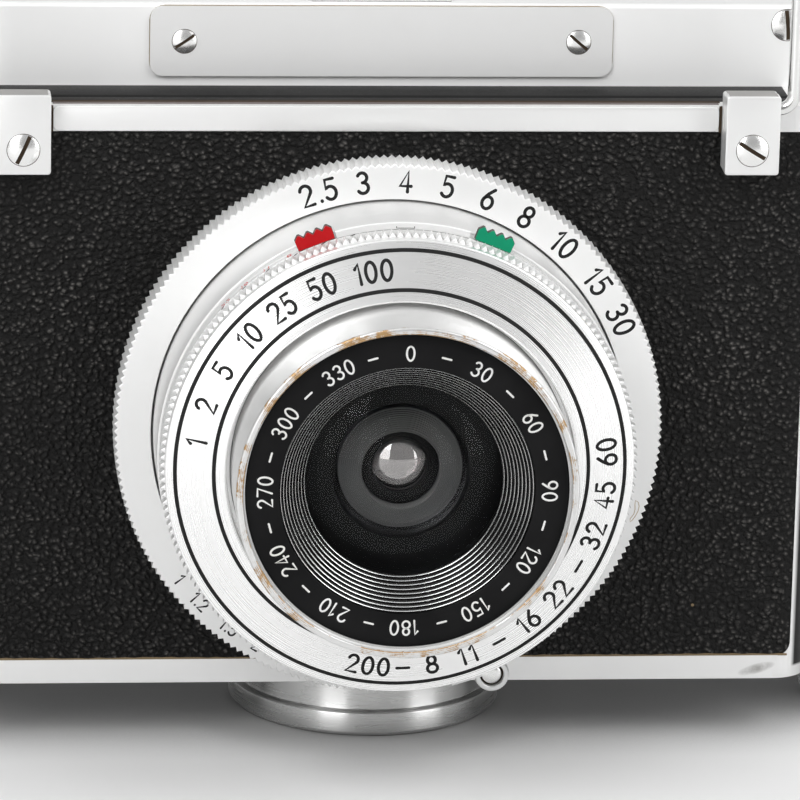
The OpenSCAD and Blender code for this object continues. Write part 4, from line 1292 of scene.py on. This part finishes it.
    def build(self) -> None:
        """Builds the rings from the body outwards."""
        self.focus_ring()
        self.shutter_body()
        self.band("aperture_band", "aperture", 27.55, "aperture_ring")
        self.band("sync_band", "sync", 29.3, "sync_lever")
        self.tab("red_tab", "aperture", "aperture_ring", RED_LACQUER, "red_tab", 26.2, 27.5, 29.3, 111.0)
        self.tab("green_tab", "sync", "sync_lever", GREEN_LACQUER, "green_tab", 27.7, 29.2, 29.3, 67.9)
        self.small_scale()
        self.speed_ring()
        self.face_plate()


@dataclass
class FrontCell:
    """The bright front barrel, the black ring in it, and the glass."""

    radius: float = 25.5
    rim_w: float = 47.4
    web_w: float = 21.65
    lining_r: float = 24.05
    glass_r: float = 14.7
    lens_r: float = 4.15
    seat_w: float = 34.9

    def barrel(self) -> None:
        """Barrel with a rounded rim and its filter thread."""
        r, f, low = self.radius, self.rim_w, self.web_w
        outline = [(r - 1.4, low), (r, low), (r, f, 0.38), (r - 1.0, f, 0.12)]
        for i in range(4):
            outline += [(r - 1.12, f - 0.25 - 0.3 * i), (r - 1.0, f - 0.4 - 0.3 * i)]
        outline += [(r - 1.1, f - 1.5), (r - 1.4, f - 1.5)]
        Work().turn(outline, 256).on_lens().piece(
            "front_barrel", "lens", BARREL_CHROME, "bright_chrome", ["lens_barrel"])

    def lining(self) -> None:
        """Blackened inside of the barrel, with the seats of the two lenses."""
        r, f, g, seat = self.lining_r, self.rim_w, self.glass_r, self.seat_w
        outline = [(r, self.web_w), (r, f - 3.6), (g + 4.7, f - 3.6), (g + 1, f - 7), (g + 1, seat), (10.5, seat),
                   (10.5, seat - 3.6), (5.9, seat - 3.6), (5.9, seat - 7.6), (6.6, seat - 7.6),
                   (6.6, seat - 10.2), (4.6, seat - 10.2), (4.6, self.web_w)]
        Work().turn(outline, 192).on_lens().piece(
            "barrel_lining", "lens", BLACK_ANODISED, "bright_chrome", ["lens_barrel"])

    def black_ring(self) -> None:
        """Black ring with plain numerals and fine steps down to the glass."""
        r, f, g, flat = self.lining_r, self.rim_w - 1.5, self.glass_r, 5.0
        outline = [(r, f - 2), (r, f, 0.12), (r - flat, f, 0.06), (r - flat, f - 1.2), (r - flat - 0.3, f - 2)]
        Work().turn(outline, 256).on_lens().piece(
            "black_front_ring", "lens", BLACK_ANODISED, "black_anodised", ["name_ring"])
        count = 9
        start = r - flat - 0.02
        run = (start - g) / count
        steps: list[tuple[float, ...]] = [(start, f - 0.25)]
        crests = Work()
        for i in range(count):
            low = f - 0.25 - (i + 1) * 0.62
            steps += [(start - (i + 0.12) * run, low - 0.05, 0.05), (start - (i + 0.30) * run, low + 0.12, 0.04),
                      (start - (i + 0.62) * run, low + 0.12, 0.04), (start - (i + 0.95) * run, low - 0.05, 0.05)]
            mid, top = start - (i + 0.46) * run, low + 0.24
            crests.turn([(mid + 0.12, top - 0.18), (mid + 0.09, top - 0.06), (mid, top), (mid - 0.09, top - 0.06),
                         (mid - 0.12, top - 0.18)], 192)
        steps += [(g, f - 6.1), (g, f - 6.3), (g + 0.9, f - 6.3), (g + 0.9, f - 5.8), (g + 4.3, f - 2.4),
                  (start, f - 1.4)]
        Work().turn(steps, 256).on_lens().piece(
            "black_steps", "lens", BLACK_STEPS, "black_anodised", ["name_ring"], crease=26)
        crests.on_lens().piece("step_crests", "lens", CREST_METAL, "black_anodised", ["name_ring"], crease=60)
        marks = Engraving(0.31, level(f))
        for i in range(12):
            marks.around(str(30 * i), r - 3.95, 2.15, 90 - 30 * i)
            marks.around("-", r - 3.95, 2.15, 75 - 30 * i)
        marks.laid("ring_numerals", "lens", WHITE_INK, "black_anodised")

    def baffles(self) -> None:
        """Finely turned stop and the small lens's mount, which show behind the front glass."""
        seat, rings, ring_rise, ring_run = self.seat_w, 11, 0.16, 0.28
        stop: list[tuple[float, ...]] = [(9.4, seat - 1.9)]
        for i in range(rings):
            out, high = 9.3 - ring_run * i, seat - 1.75 + ring_rise * i
            stop += [(out, high), (out - 0.14, high), (out - 0.16, high - 0.14), (out - 0.26, high - 0.14)]
        stop += [(6.1, seat - 0.05, 0.05), (5.95, seat - 0.3), (5.95, seat - 3.55), (9.4, seat - 3.55)]
        Work().turn(stop, 160).on_lens().piece("front_stop", "lens", STOP_PAINT, "black_anodised")
        top = seat - 2.1
        mount = [(5.87, seat - 7.5), (5.87, top - 0.2, 0.1), (4.9, top, 0.1), (4.5, top - 0.5),
                 (self.lens_r, top - 0.5), (self.lens_r, top - 2.2), (4.6, top - 2.2), (4.6, seat - 7.5)]
        Work().turn(mount, 128).on_lens().piece("inner_mount", "lens", BLACK_ANODISED, "black_anodised")

    def glass(self) -> None:
        """Front meniscus and the small, strongly curved inner lens."""
        seat, crown, ball, hollow, edge = self.seat_w, self.rim_w - 4.0, 30.0, 17.0, self.glass_r + 0.93
        front = cap(ball, crown, math.asin(edge / ball), 20)
        inner = cap(hollow, crown - 2.2, 0.62, 16)
        outline = front + [(edge, seat + 0.02), (inner[-1][0] + 0.3, seat + 0.02)] + inner[::-1]
        Work().turn(outline, 128, closed=False).on_lens().piece(
            "front_glass", "lens", LENS_GLASS, "coated_glass", ["front_lenses"])
        top, ball, edge = seat - 2.4, 7.2, self.lens_r - 0.03
        small = cap(ball, top, math.asin(edge / ball), 14)
        Work().turn(small + [(edge, top - 2.15), (0.0, top - 2.15)], 96, closed=False).on_lens().piece(
            "inner_glass", "lens", INNER_GLASS, "coated_glass", ["front_lenses"])

    def build(self) -> None:
        """Builds the front cell."""
        self.barrel()
        self.lining()
        self.black_ring()
        self.baffles()
        self.glass()


@dataclass(frozen=True)
class Screw:
    """One oval-headed slotted screw."""

    place: tuple[float, float, float]
    radius: float
    rise: float
    slot_angle: float
    upward: bool = False

    def seat(self) -> Matrix:
        """Turns the screw's own axis to where its head looks, and its slot to its angle."""
        facing = Matrix.Identity(4) if self.upward else FACING_FRONT
        return Matrix.Translation(self.place) @ facing @ Matrix.Rotation(math.radians(self.slot_angle), 4, "Z")

    def slot_floor(self) -> float:
        """Height of the slot's floor above the seat."""
        return max(self.rise - 0.24 * self.radius, 0.07)

    def head(self, made: Work) -> None:
        """Adds the domed head with its slot cut in.

        Args:
            made: The mesh that takes it.
        """
        r, h = self.radius, self.rise
        ball = (r * r + h * h) / (2 * h)
        own = Work().turn(cap(ball, h, math.asin(r / ball), 9) + [(r, -0.15), (0.0, -0.15)], 48, closed=False)
        half, floor = 0.125 * r, self.slot_floor()
        for side in (-half, half):
            bmesh.ops.bisect_plane(own.bm, geom=own.bm.verts[:] + own.bm.edges[:] + own.bm.faces[:], dist=1e-5,
                                   plane_co=(0, side, 0), plane_no=(0, 1, 0))
        bmesh.ops.recalc_face_normals(own.bm, faces=own.bm.faces[:])
        own.bm.normal_update()
        slot = [f for f in own.bm.faces if abs(f.calc_center_median().y) < half and f.normal.z > 0.3]
        cut = bmesh.ops.extrude_face_region(own.bm, geom=slot)["geom"]
        bmesh.ops.delete(own.bm, geom=slot, context="FACES")
        for vert in cut:
            if isinstance(vert, bmesh.types.BMVert):
                vert.co.z = min(vert.co.z, floor)
        bmesh.ops.remove_doubles(own.bm, verts=own.bm.verts[:], dist=1e-4)
        bmesh.ops.dissolve_degenerate(own.bm, dist=1e-4, edges=own.bm.edges[:])
        own.moved(self.seat())
        made.take(own)

    def dirt(self, made: Work) -> None:
        """Adds the dirt that has gathered in the slot and round the head.

        Args:
            made: The mesh that takes it.
        """
        r, floor = self.radius, self.slot_floor()
        own = Work()
        own.block((-r * 0.93, -0.12 * r, floor - 0.05), (r * 0.93, 0.12 * r, floor + 0.05))
        own.turn([(r - 0.02, -0.1), (r + 0.09, -0.1), (r + 0.05, 0.03), (r - 0.02, 0.03)], 48)
        own.moved(self.seat())
        made.take(own)


@dataclass
class BodyTrim:
    """What the camera's chromed front carries: bar, hinge blocks, screws, strip, cement line, foot and socket."""

    block_x: tuple[float, float] = (51.6, 60.0)
    block_y: tuple[float, float] = (-27.5, -22.5)
    block_z: tuple[float, float] = (92.7, 105.1)
    foot_r: float = 21.7

    def screws(self) -> None:
        """All the slotted screws."""
        front = [Screw((-55.8, -27.5, 96.6), 2.5, 0.6, 65), Screw((55.8, -27.5, 96.6), 2.5, 0.6, 148)]
        top = [Screw((-30.6, -10.1, 109.7), 1.9, 0.42, 34), Screw((30.6, -10.1, 109.7), 1.9, 0.42, 140),
               Screw((-63.3, -9.5, 112.4), 2.5, 0.6, 80), Screw((63.3, -9.5, 112.4), 2.5, 0.6, 95)]
        top += [Screw((x, y, 116.9), 1.5, 0.4, 35 * x + 20 * y, upward=True) for x in (-6, 6) for y in (-5, 5)]
        for name, node, group in (("block_screws", "hinge_block_screws", front),
                                  ("top_case_screws", "top_screws", top)):
            heads, dirt = Work(), Work()
            for screw in group:
                screw.head(heads)
                screw.dirt(dirt)
            heads.piece(name, "body", SCREW_STEEL, "steel", [node], crease=28)
            dirt.piece(name + "_dirt", "body", DIRT_AND_GAP_SHADE, "steel", [node])

    def hinge_blocks(self) -> None:
        """Two layered blocks with rounded corners that hold the wire finder, with darker plates of painted shade on
        their tops.
        """
        (x0, x1), (y0, y1), (z0, z1) = self.block_x, self.block_y, self.block_z
        made = Work()
        for side in (-1, 1):
            xs = sorted((side * x0, side * x1))
            for near, far, drop in ((y0, y0 + 2.55, 0.0), (y0 + 2.62, y1 + 0.02, 0.18)):
                own = Work()
                outline = rounded(xs[0], xs[1], z0 + drop * 0.5, z1 - drop, 0.5)
                own.plate(outline, -far, -near)
                own.soften(0.2, 3, 50)
                own.moved(FACING_FRONT)
                made.take(own)
        made.piece("hinge_block_pair", "body", BODY_CHROME, "satin_chrome", ["hinge_blocks"], crease=40)
        # Thin darker plates on the blocks' tops: painted shade on the chrome
        tops = Work()
        for side in (-1, 1):
            xs = sorted((side * (x0 + 0.45), side * (x1 - 0.45)))
            tops.block((xs[0], y0 + 0.3, z1 - 0.2), (xs[1], y0 + 2.4, z1 + 0.03))
            tops.block((xs[0], y0 + 2.8, z1 - 0.3), (xs[1], y1 - 0.25, z1 - 0.12))
        tops.soften(0.02, 1)
        tops.piece("hinge_block_shaded_tops", "body", SHADED_BLOCK_TOP, "satin_chrome", ["hinge_blocks"])

    def bar(self) -> None:
        """Polished bar between the blocks, with painted shadow in the gap at each end and behind its top, and a
        painted dark reflection over the back of its top.
        """
        own = Work()
        own.plate(rounded(-51.15, 51.15, 98.45, 102.42, 0.9), 20.3, 22.9)
        own.soften(0.2, 3, 50)
        own.moved(FACING_FRONT).piece("front_bar", "body", BODY_CHROME, "satin_alloy")
        # Dark blocks in the gap at each end of the bar and behind its top: painted shadow
        gap_shadows = Work()
        for x in (-51.38, 51.38):
            gap_shadows.block((x - 0.22, -22.62, 98.3), (x + 0.22, -22.45, 102.45))
        gap_shadows.block((-51.5, -20.6, 102.35), (51.5, -19.6, 102.6))
        gap_shadows.soften(0.03, 1)
        gap_shadows.piece("bar_gap_shadows", "body", DIRT_AND_GAP_SHADE, "black_paint")
        # Dark brown plate over the back of the bar's top: painted reflection of the black channel
        top = Work()
        top.block((-51.2, -21.7, 102.3), (51.2, -19.62, 102.56))
        top.soften(0.05, 2)
        top.piece("bar_top_reflection_plate", "body", BAR_TOP_REFLECTION, "black_paint")

    def plate_edge(self) -> None:
        """Thin line of old dirt round the blank plate on the housing."""
        line = Engraving(0.17, lambda p: Vector((p.x, -9.52 - p.z, p.y)))
        outline = rounded(-35.95, 35.95, 104.15, 115.25, 2.3)
        line.lines = [[Vector((x, y, 0)) for x, y in outline + outline[:1]]]
        line.work(0.4).piece("plate_edge_dirt", "body", EDGE_DIRT, "black_paint")

    def strip(self) -> None:
        """Black channel between the bar and the top case."""
        outline = [(-19.65, 101.9), (-19.65, 102.5), (-17.3, 102.52), (-17.1, 102.1), (-16.5, 102.1),
                   (-16.3, 102.66), (-9.8, 102.68), (-9.75, 101.9)]
        made = Work()
        made.plate([(z, -y) for y, z in outline], -62.75, 62.75)
        made.moved(Matrix(((0, 0, 1, 0), (0, -1, 0, 0), (1, 0, 0, 0), (0, 0, 0, 1))))
        made.soften(0.06, 2, 40)
        made.piece("top_channel", "body", BLACK_PAINT, "black_paint", ["top_inlay"])

    def cement(self) -> None:
        """Line of old cement that has crept out along the lower edge of the covering."""
        made = Work()
        made.block((-65.2, -22.46, 13.46), (65.2, -21.85, 13.8))
        edges = [e for e in made.bm.edges if abs(e.verts[0].co.x - e.verts[1].co.x) > 1]
        bmesh.ops.subdivide_edges(made.bm, edges=edges, cuts=90, use_grid_fill=True)
        for vert in made.bm.verts:
            if vert.co.z > 13.6:
                vert.co.z += 0.06 * math.sin(vert.co.x * 1.7) + 0.05 * math.sin(vert.co.x * 4.1 + 1)
        nick = Work()
        nick.turn([(0.0, 0.12), (0.25, 0.09), (0.42, 0.0), (0.42, -0.1), (0.0, -0.1)], 14, closed=False)
        nick.moved(Matrix.Translation((49.87, -22.36, 21.91)) @ FACING_FRONT)
        made.take(nick)
        made.piece("cement_line", "body", OLD_GLUE, "grained_covering")

    def foot(self) -> None:
        """Turned tripod foot: a wide flange under a narrower neck, hollow in the middle."""
        r = self.foot_r
        outline = [(3.0, 0.0, 0.2), (r - 0.75, 0.0, 0.15), (r, 0.75, 0.12), (r, 4.15, 0.5), (r - 1.1, 4.25, 0.05),
                   (r - 1.1, 9.72), (3.0, 9.72)]
        Work().turn(outline, 192).piece("turned_foot", "body", FOOT_CHROME, "bright_chrome", ["tripod_foot"],
                                        crease=24)

    def socket(self) -> None:
        """Flash socket: a grooved collar round a small domed contact."""
        place = Matrix.Translation((17.84, FRONT_Y, 12.2)) @ FACING_FRONT
        made = Work()
        made.toothed(44, [(0.0, 1.88, 1.88), (0.0, 2.7, 2.7), (3.6, 2.7, 2.62), (3.75, 2.75, 2.62),
                          (4.75, 2.75, 2.62), (5.0, 2.6, 2.55), (5.0, 2.5, 2.5), (5.0, 2.0, 2.0), (4.9, 1.88, 1.88)])
        made.moved(place).piece("socket_collar", "body", WALL_CHROME, "satin_chrome", ["flash_socket"], crease=25)
        gap = Work().turn([(1.6, 3.9), (1.9, 3.9), (1.9, 4.0), (1.6, 4.0)], 48)
        gap.moved(place).piece("socket_gap", "body", DIRT_AND_GAP_SHADE, "black_paint", ["flash_socket"])
        pin = Work().turn([(0.0, 4.75), (0.6, 4.73), (1.2, 4.66), (1.5, 4.5), (1.62, 4.2), (1.62, 3.9), (0.0, 3.9)],
                          48, closed=False)
        pin.moved(place).piece("socket_contact", "body", SCREW_STEEL, "satin_chrome", ["flash_socket"])

    def build(self) -> None:
        """Builds the trim."""
        self.hinge_blocks()
        self.screws()
        self.bar()
        self.plate_edge()
        self.strip()
        self.cement()
        self.foot()
        self.socket()


@dataclass
class CarriedNodes:
    """CAD nodes that keep their shape: each gets its finish, and crisp edges are eased by a bevel."""

    ease: dict[str, float] = field(default_factory=lambda: {
        "body_shell": 0.25, "top_housing": 0.3, "nameplate": 0.12, "accessory_shoe": 0.2, "back_door": 0.3,
        "pressure_plate": 0.15, "film_gate": 0.1, "door_latch": 0.2, "window_cover": 0.12, "peep_sight": 0.12,
        "peep_bracket": 0.1, "strap_lugs": 0.15})
    finishes: dict[Finish, str] = field(default_factory=lambda: {
        BODY_CHROME: "body_shell back_door", HOUSING_CHROME: "top_housing", PLATE_METAL: "nameplate",
        KNOB_CHROME: "accessory_shoe peep_bracket peep_sight strap_lugs door_latch window_cover wind_knob "
                     "film_dial spool_knob_left spool_knob_right",
        STEEL: "strap_ring_left strap_ring_right film_roller_left film_roller_right door_hinge_pin",
        COVERING: "front_covering back_covering", BLACK_PAINT: "light_cone film_gate pressure_plate",
        BRONZE: "pressure_springs", RED_GLASS: "red_window", NICKEL: "wire_finder",
        BLACK_ANODISED: "helicoid_tube rear_cell", LENS_GLASS: "rear_lenses",
        RING_CHROME: "lens_flange cocking_lever release_lever", SPOOL_PLASTIC: "takeup_spool supply_spool",
        BLADE_STEEL: " ".join(f"shutter_blade_{i}" for i in range(1, 6)),
        BLUED_STEEL: " ".join(f"iris_blade_{i}" for i in range(1, 6))})

    def dress(self, nodes: dict[str, bpy.types.Object]) -> None:
        """Dresses every CAD node that still shows.

        Args:
            nodes: The frame's nodes by name.
        """
        chosen = {name: finish for finish, names in self.finishes.items() for name in names.split()}
        for name, item in nodes.items():
            if item.hide_render:
                continue
            item.data.materials.clear()
            item.data.materials.append(chosen[name].material())
            if name in self.ease:
                self.ease_edges(item, self.ease[name] * MM)

    def ease_edges(self, item: bpy.types.Object, width: float) -> None:
        """Welds a node's loose faces and bevels its sharp edges.

        Args:
            item: The node's object.
            width: Width of the bevel in metres.
        """
        weld = item.modifiers.new("weld", "WELD")
        weld.merge_threshold = 0.002 * MM
        bevel = item.modifiers.new("bevel", "BEVEL")
        bevel.width = width
        bevel.segments = 2
        bevel.limit_method = "ANGLE"
        bevel.angle_limit = math.radians(40)
        bevel.harden_normals = True


@dataclass
class Studio:
    """Floor, soft lights and the camera at the photograph's viewing angle."""

    eye: tuple[float, float, float] = (-80.0, -902.4, 306.7)
    right: tuple[float, float, float] = (0.99592, -0.08751, 0.02203)
    up: tuple[float, float, float] = (0.00281, 0.27415, 0.96168)
    focal: float = 266.39
    aim: tuple[float, float, float] = (0, -0.02, 0.06)
    mirrored_sky: tuple[tuple[float, float], ...] = (
        (0.10, 0.38), (0.22, 0.28), (0.36, 0.28), (0.62, 0.32), (0.85, 0.80))

    def place(self, data: bpy.types.ID, matrix: Matrix | None = None) -> bpy.types.Object:
        """Puts a camera, a lamp or a mesh into the scene.

        Args:
            data: What the object shows.
            matrix: Its place and turn.

        Returns:
            The new object, named as its data.
        """
        item = bpy.data.objects.new(data.name, data)
        if matrix:
            item.matrix_world = matrix
        bpy.context.scene.collection.objects.link(item)
        return item

    def camera(self) -> None:
        """Sets the camera from its place and its axes."""
        data = bpy.data.cameras.new("view")
        data.sensor_width = 36.0
        data.lens = self.focal
        data.clip_start, data.clip_end = 0.05, 20.0
        x = Vector(self.right).normalized()
        z = x.cross(Vector(self.up)).normalized()
        turn = Matrix((x, z.cross(x), z)).transposed().to_4x4()
        bpy.context.scene.camera = self.place(data, Matrix.Translation(Vector(self.eye) * MM) @ turn)

    def lamp(self, name: str, place: Sequence[float], size: tuple[float, float],
             power: float) -> bpy.types.Object:
        """Adds a soft box that faces the camera model.

        Args:
            name: The lamp's name.
            place: Its place in metres.
            size: Width and height in metres.
            power: Watts.

        Returns:
            The lamp.
        """
        data = bpy.data.lights.new(name, "AREA")
        data.shape, data.size, data.size_y, data.energy = "RECTANGLE", *size, power
        back = Vector(place) - Vector(self.aim)
        return self.place(data, Matrix.Translation(place) @ back.to_track_quat("Z", "Y").to_matrix().to_4x4())

    def floor(self) -> None:
        """Lays a wide plain floor."""
        bm = bmesh.new()
        bmesh.ops.create_grid(bm, x_segments=1, y_segments=1, size=3.0)
        mesh = bpy.data.meshes.new("floor")
        bm.to_mesh(mesh)
        bm.free()
        mesh.materials.append(PaleFloor().material())
        self.place(mesh)

    def world(self) -> None:
        """Soft surroundings: bright to the camera and in the metal, and dimmer as light on the object."""
        g = Graph(bpy.data.worlds.new("studio"))
        _, y, z = g.axes(g.add("TexCoord").outputs["Generated"])
        ramp = g.add("ValToRGB", None, Fac=z)
        ends = ramp.color_ramp.elements
        ends[0].color, ends[1].color = (0.34, 0.34, 0.34, 1), (1, 1, 1, 1)
        for at, value in self.mirrored_sky:
            ends.new(at).color = (value, value, value, 1)
        around = g.mix(g.span(y, -0.1, 0.35), ramp.outputs["Color"], (0.56, 0.56, 0.56))
        ray = g.add("LightPath").outputs
        bent = g.math("MAXIMUM", ray["Is Glossy Ray"], ray["Is Transmission Ray"])
        shown = g.mix(ray["Is Camera Ray"], g.mix(bent, (0.13, 0.13, 0.13), around), (0.92, 0.92, 0.92))
        bpy.context.scene.world = g.close(g.add("Background", None, Color=shown, Strength=1.0), "OutputWorld")

    def build(self) -> None:
        """Builds the studio. The cards show only in the metal, and the overhead lamp doesn't."""
        self.camera()
        self.floor()
        self.world()
        self.lamp("overhead", (0.0, -0.34, 1.05), (2.2, 1.5), 6.0).visible_glossy = False
        self.lamp("left_box", (-0.60, -0.86, 0.90), (0.75, 0.8), 9.6)
        self.lamp("right_box", (0.82, -0.65, 0.90), (0.75, 0.8), 6.7)
        self.lamp("left_card", (-0.42, -0.74, 0.24), (0.34, 0.42), 1.4).visible_diffuse = False
        self.lamp("right_card", (0.66, -0.56, 0.24), (0.34, 0.42), 1.5).visible_diffuse = False
        bpy.context.scene.view_settings.view_transform = "Standard"


def main() -> None:
    """Loads the frame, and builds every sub-assembly in order."""
    logging.basicConfig(level=logging.INFO, format="%(name)s: %(message)s")
    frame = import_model()
    for assembly in (Studio(), BodyTrim(), LensRings(), FrontCell()):
        LOG.info("building %s", type(assembly).__name__)
        assembly.build()
    CarriedNodes().dress(frame["nodes"])


if __name__ == "__main__":
    main()
